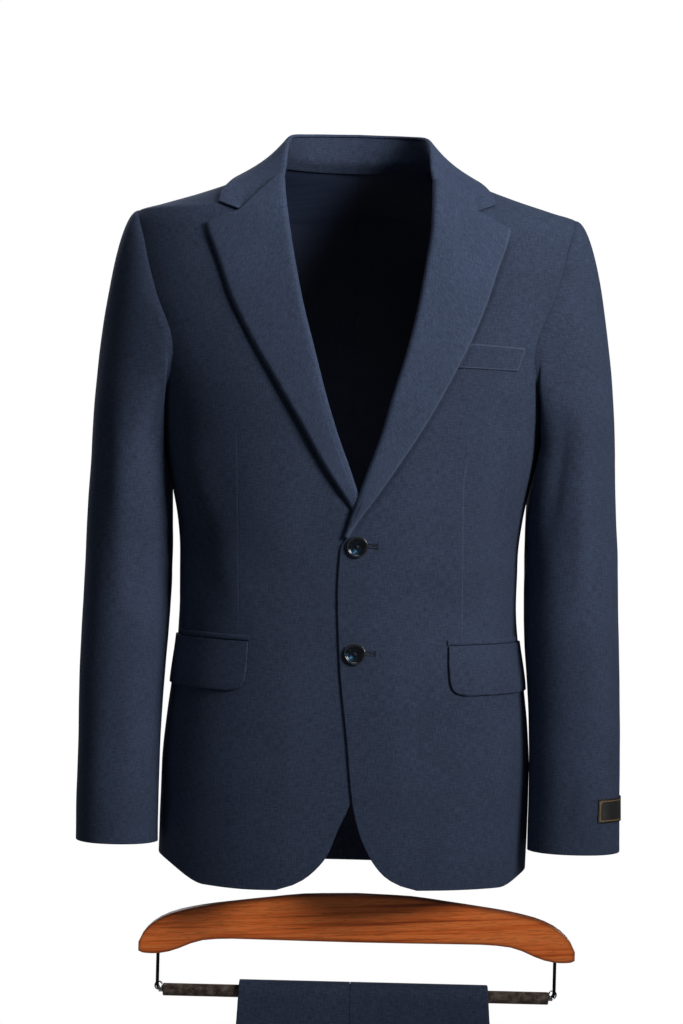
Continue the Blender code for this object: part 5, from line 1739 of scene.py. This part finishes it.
def legGrid(first, second, start, end, off, columns):
    along = legLevels(start, end)[:, None] * np.ones(columns + 1)
    share = np.linspace(0, 1, columns + 1)
    left = read(legRows, first, along) + (0.15 if first == "seam" else 0.0)
    right = read(legRows, second, along) - (0.15 if second == "seam" else 0.0)
    x = lerp(left, right, share)
    y, z = legPath(along, off)
    yOut, zOut = legPath(along, off + 1)
    normals = unit(stack(0.0, yOut - y, zOut - z))
    # the drops hang a little unevenly, but stay pressed at the creases
    wave = 0.5 * np.sin(along / 63 + x / 90) * np.sin(x / 48 + 0.8) + 0.25 * np.sin(along / 27 - x / 35)
    wave *= ease(25, 120, np.abs(along))
    points = stack(x, y, z) + normals * np.maximum(wave, -0.1)[..., None]
    return points, normals, {"cloth": stack(x, along) * mm}


def makeTrousers():
    waist, hem = float(legRows["along"][-1]), float(legRows["along"][0])
    under = trouserSet["core"] + trouserSet["gap"]
    low = waist - trouserSet["bandHeight"]
    turned, sewn = 0.75, 0.35
    for name, first, last, flat, edges in (
        ("legFrontPanel", "frontCrease", "seam", trouserSet["frontFlat"], (turned, sewn, sewn, turned)),
        ("legBackPanel", "seam", "backCrease", trouserSet["backFlat"], (turned, turned, sewn, sewn)),
    ):
        grid = legGrid(first, last, hem, low - trouserSet["gap"], under + trouserSet["leg"] / 2, 30)
        makeSheet(name, *grid, flat, "folded", ["trouser_bar"],
                  thickness=trouserSet["leg"], edges=edges, inner=wool)
    grid = legGrid("frontCrease", "backCrease", low, waist, under + trouserSet["band"] / 2, 50)
    makeSheet("waistbandCloth", *grid, trouserSet["bandFlat"], "folded", ["leg_hidden_layers"],
              node="waistband", thickness=trouserSet["band"], edges=(0.9,) * 4, inner=wool)


def makeHiddenLayers():
    # the underside of the leg and the whole other leg, three layers with their folded edges showing
    waist, hem = float(legRows["along"][-1]) - 1.5, float(legRows["along"][0]) + 1.0
    along = legLevels(hem, waist)
    thick, inset = trouserSet["core"], 0.8
    layer = thick / trouserSet["layers"]
    folds = [(0.9 * (1 - math.sin(turn)), layer * (k + 0.5 - 0.5 * math.cos(turn)))
             for k in range(trouserSet["layers"]) for turn in np.linspace(0, math.pi, 6)]
    left = read(legRows, "frontCrease", along) + inset
    right = read(legRows, "backCrease", along) - inset
    shares = np.linspace(0, 1, 22)[1:-1]
    columns = [(left + cut, off) for cut, off in folds]
    columns += [(lerp(left, right, share), thick) for share in shares]
    columns += [(right - cut, off) for cut, off in folds[::-1]]
    columns += [(lerp(left, right, share), 0.0) for share in shares[::-1]]
    ring = np.stack([stack(x, *legPath(along, off)) for x, off in columns], axis=1)
    high, wide = ring.shape[:2]
    index = np.arange(high * wide).reshape(high, wide)
    after = np.roll(index, -1, axis=1)
    faces = np.stack((index[:-1], after[:-1], after[1:], index[1:]), axis=-1).reshape(-1, 4).tolist()
    faces += [index[0, ::-1].tolist(), index[-1].tolist()]  # the cut ends
    mesh = bpy.data.meshes.new("legHiddenLayers")
    mesh.from_pydata((ring.reshape(-1, 3) * mm).tolist(), [], faces)
    grain = stack(ring[..., 0], along[:, None]).reshape(-1, 2) * mm
    uv = mesh.uv_layers.new(name="cloth")
    for loop in mesh.loops:
        uv.data[loop.index].uv = grain[loop.vertex_index]
    mesh.materials.append(wool)
    mesh.shade_smooth()
    piece = bpy.data.objects.new("legHiddenLayers", mesh)
    bpy.context.scene.collection.objects.link(piece)
    only(piece)
    editAll()
    bpy.ops.mesh.normals_make_consistent(inside=False)
    endEdit()
    smooth(piece, 50)
    rideSheet(piece)


makeTrousers()
makeHiddenLayers()
print("trousers made")


# floor, lights and camera

stageSet = {
    "floor": -1.47, "radius": 3.2, "floorColours": ("#eeeeed", "#f4f4f3"),
    "backdrop": 1.0,  # brightness of the backdrop that the camera sees
    "bounce": 0.055,  # brightness of the light that comes back from it
    "key": ((2.0, -1.95, 0.8), (1.0, 1.2), 6.8, "#fffaf4", 45),
    "fill": ((-2.6, -2.8, 0.2), (1.8, 1.8), 2.5, "#eef3ff", 180),
    "top": ((0.3, -0.3, 2.2), (1.6, 1.6), 18, "#ffffff", 180),
    "back": ((-1.0, 2.6, 0.9), (1.8, 1.8), 22, "#f4f7ff", 150),
    "aim": (0.07, -0.1, -0.09),
    "camera": (0.0, -3.0, -0.385), "roll": 1.4, "focal": 2912.6, "shiftPixels": -8.5,
    "imageTall": 1024,
}


def floorPaint():
    # matt emulsion on a smooth studio floor: pale, with a faint roller texture, lost in the backdrop
    made, tree, shader = startMaterial("mattFloorPaint", {"Roughness": 0.7})
    place = addNode(tree, "TexCoord").outputs["Object"]
    noise = addNode(tree, "TexNoise", {"Vector": place, "Scale": 3.0, "Detail": 3.0})
    colour = addNode(tree, "ValToRGB", {"Fac": noise},
                     stops=dyed(stageSet["floorColours"], 0.3, 0.7))
    out = addNode(tree, "VectorMath", {0: place}, operation="LENGTH")
    kept = addNode(tree, "MapRange", {
        "Value": out.outputs["Value"], "From Min": 0.9, "From Max": stageSet["radius"] * 0.95,
        "To Min": 1.0, "To Max": 0.0}, interpolation_type="SMOOTHSTEP")
    setInputs(tree, shader, {"Base Color": colour, "Alpha": kept})
    return made


def addLight(name, place, size, power, colour, spread):
    light = bpy.data.lights.new(name, "AREA")
    light.shape = "RECTANGLE"
    light.size, light.size_y = size
    light.energy = power
    light.color = linear(colour)[:3]
    light.spread = math.radians(spread)  # a honeycomb grid narrows it
    lamp = bpy.data.objects.new(name, light)
    lamp.location = place
    lamp.rotation_euler = (Vector(stageSet["aim"]) - Vector(place)).to_track_quat("-Z", "Y").to_euler()
    bpy.context.scene.collection.objects.link(lamp)


def makeStage():
    only()
    bpy.ops.mesh.primitive_circle_add(vertices=96, radius=stageSet["radius"], fill_type="NGON")
    floor = bpy.context.object
    floor.name = "studioFloor"
    floor.data.transform(Matrix.Translation((0, 0, stageSet["floor"])))
    floor.data.materials.append(floorPaint())
    world = bpy.data.worlds.new("studioWorld")
    world.use_nodes = True
    bpy.context.scene.world = world
    background = world.node_tree.nodes["Background"]
    background.inputs["Color"].default_value = grey(1.0)
    seen = addNode(world.node_tree, "LightPath")
    strength = addNode(world.node_tree, "Mix", {
        0: seen.outputs["Is Camera Ray"], 2: stageSet["bounce"], 3: stageSet["backdrop"]}, data_type="FLOAT")
    world.node_tree.links.new(strength.outputs[0], background.inputs["Strength"])
    bpy.context.scene.view_settings.view_transform = "Standard"
    for name in ("key", "fill", "top", "back"):
        addLight(name + "Softbox", *stageSet[name])


def makeCamera():
    tall = stageSet["imageTall"]
    data = bpy.data.cameras.new("mainCamera")
    data.sensor_width = 36.0
    data.lens = stageSet["focal"] * data.sensor_width / tall
    data.shift_x = stageSet["shiftPixels"] / tall
    camera = bpy.data.objects.new("mainCamera", data)
    level = Matrix.Translation(stageSet["camera"]) @ Matrix.Rotation(math.radians(90), 4, "X")
    camera.matrix_world = level @ Matrix.Rotation(math.radians(stageSet["roll"]), 4, "Z")
    bpy.context.scene.collection.objects.link(camera)
    bpy.context.scene.camera = camera


makeStage()
makeCamera()
print("stage made")
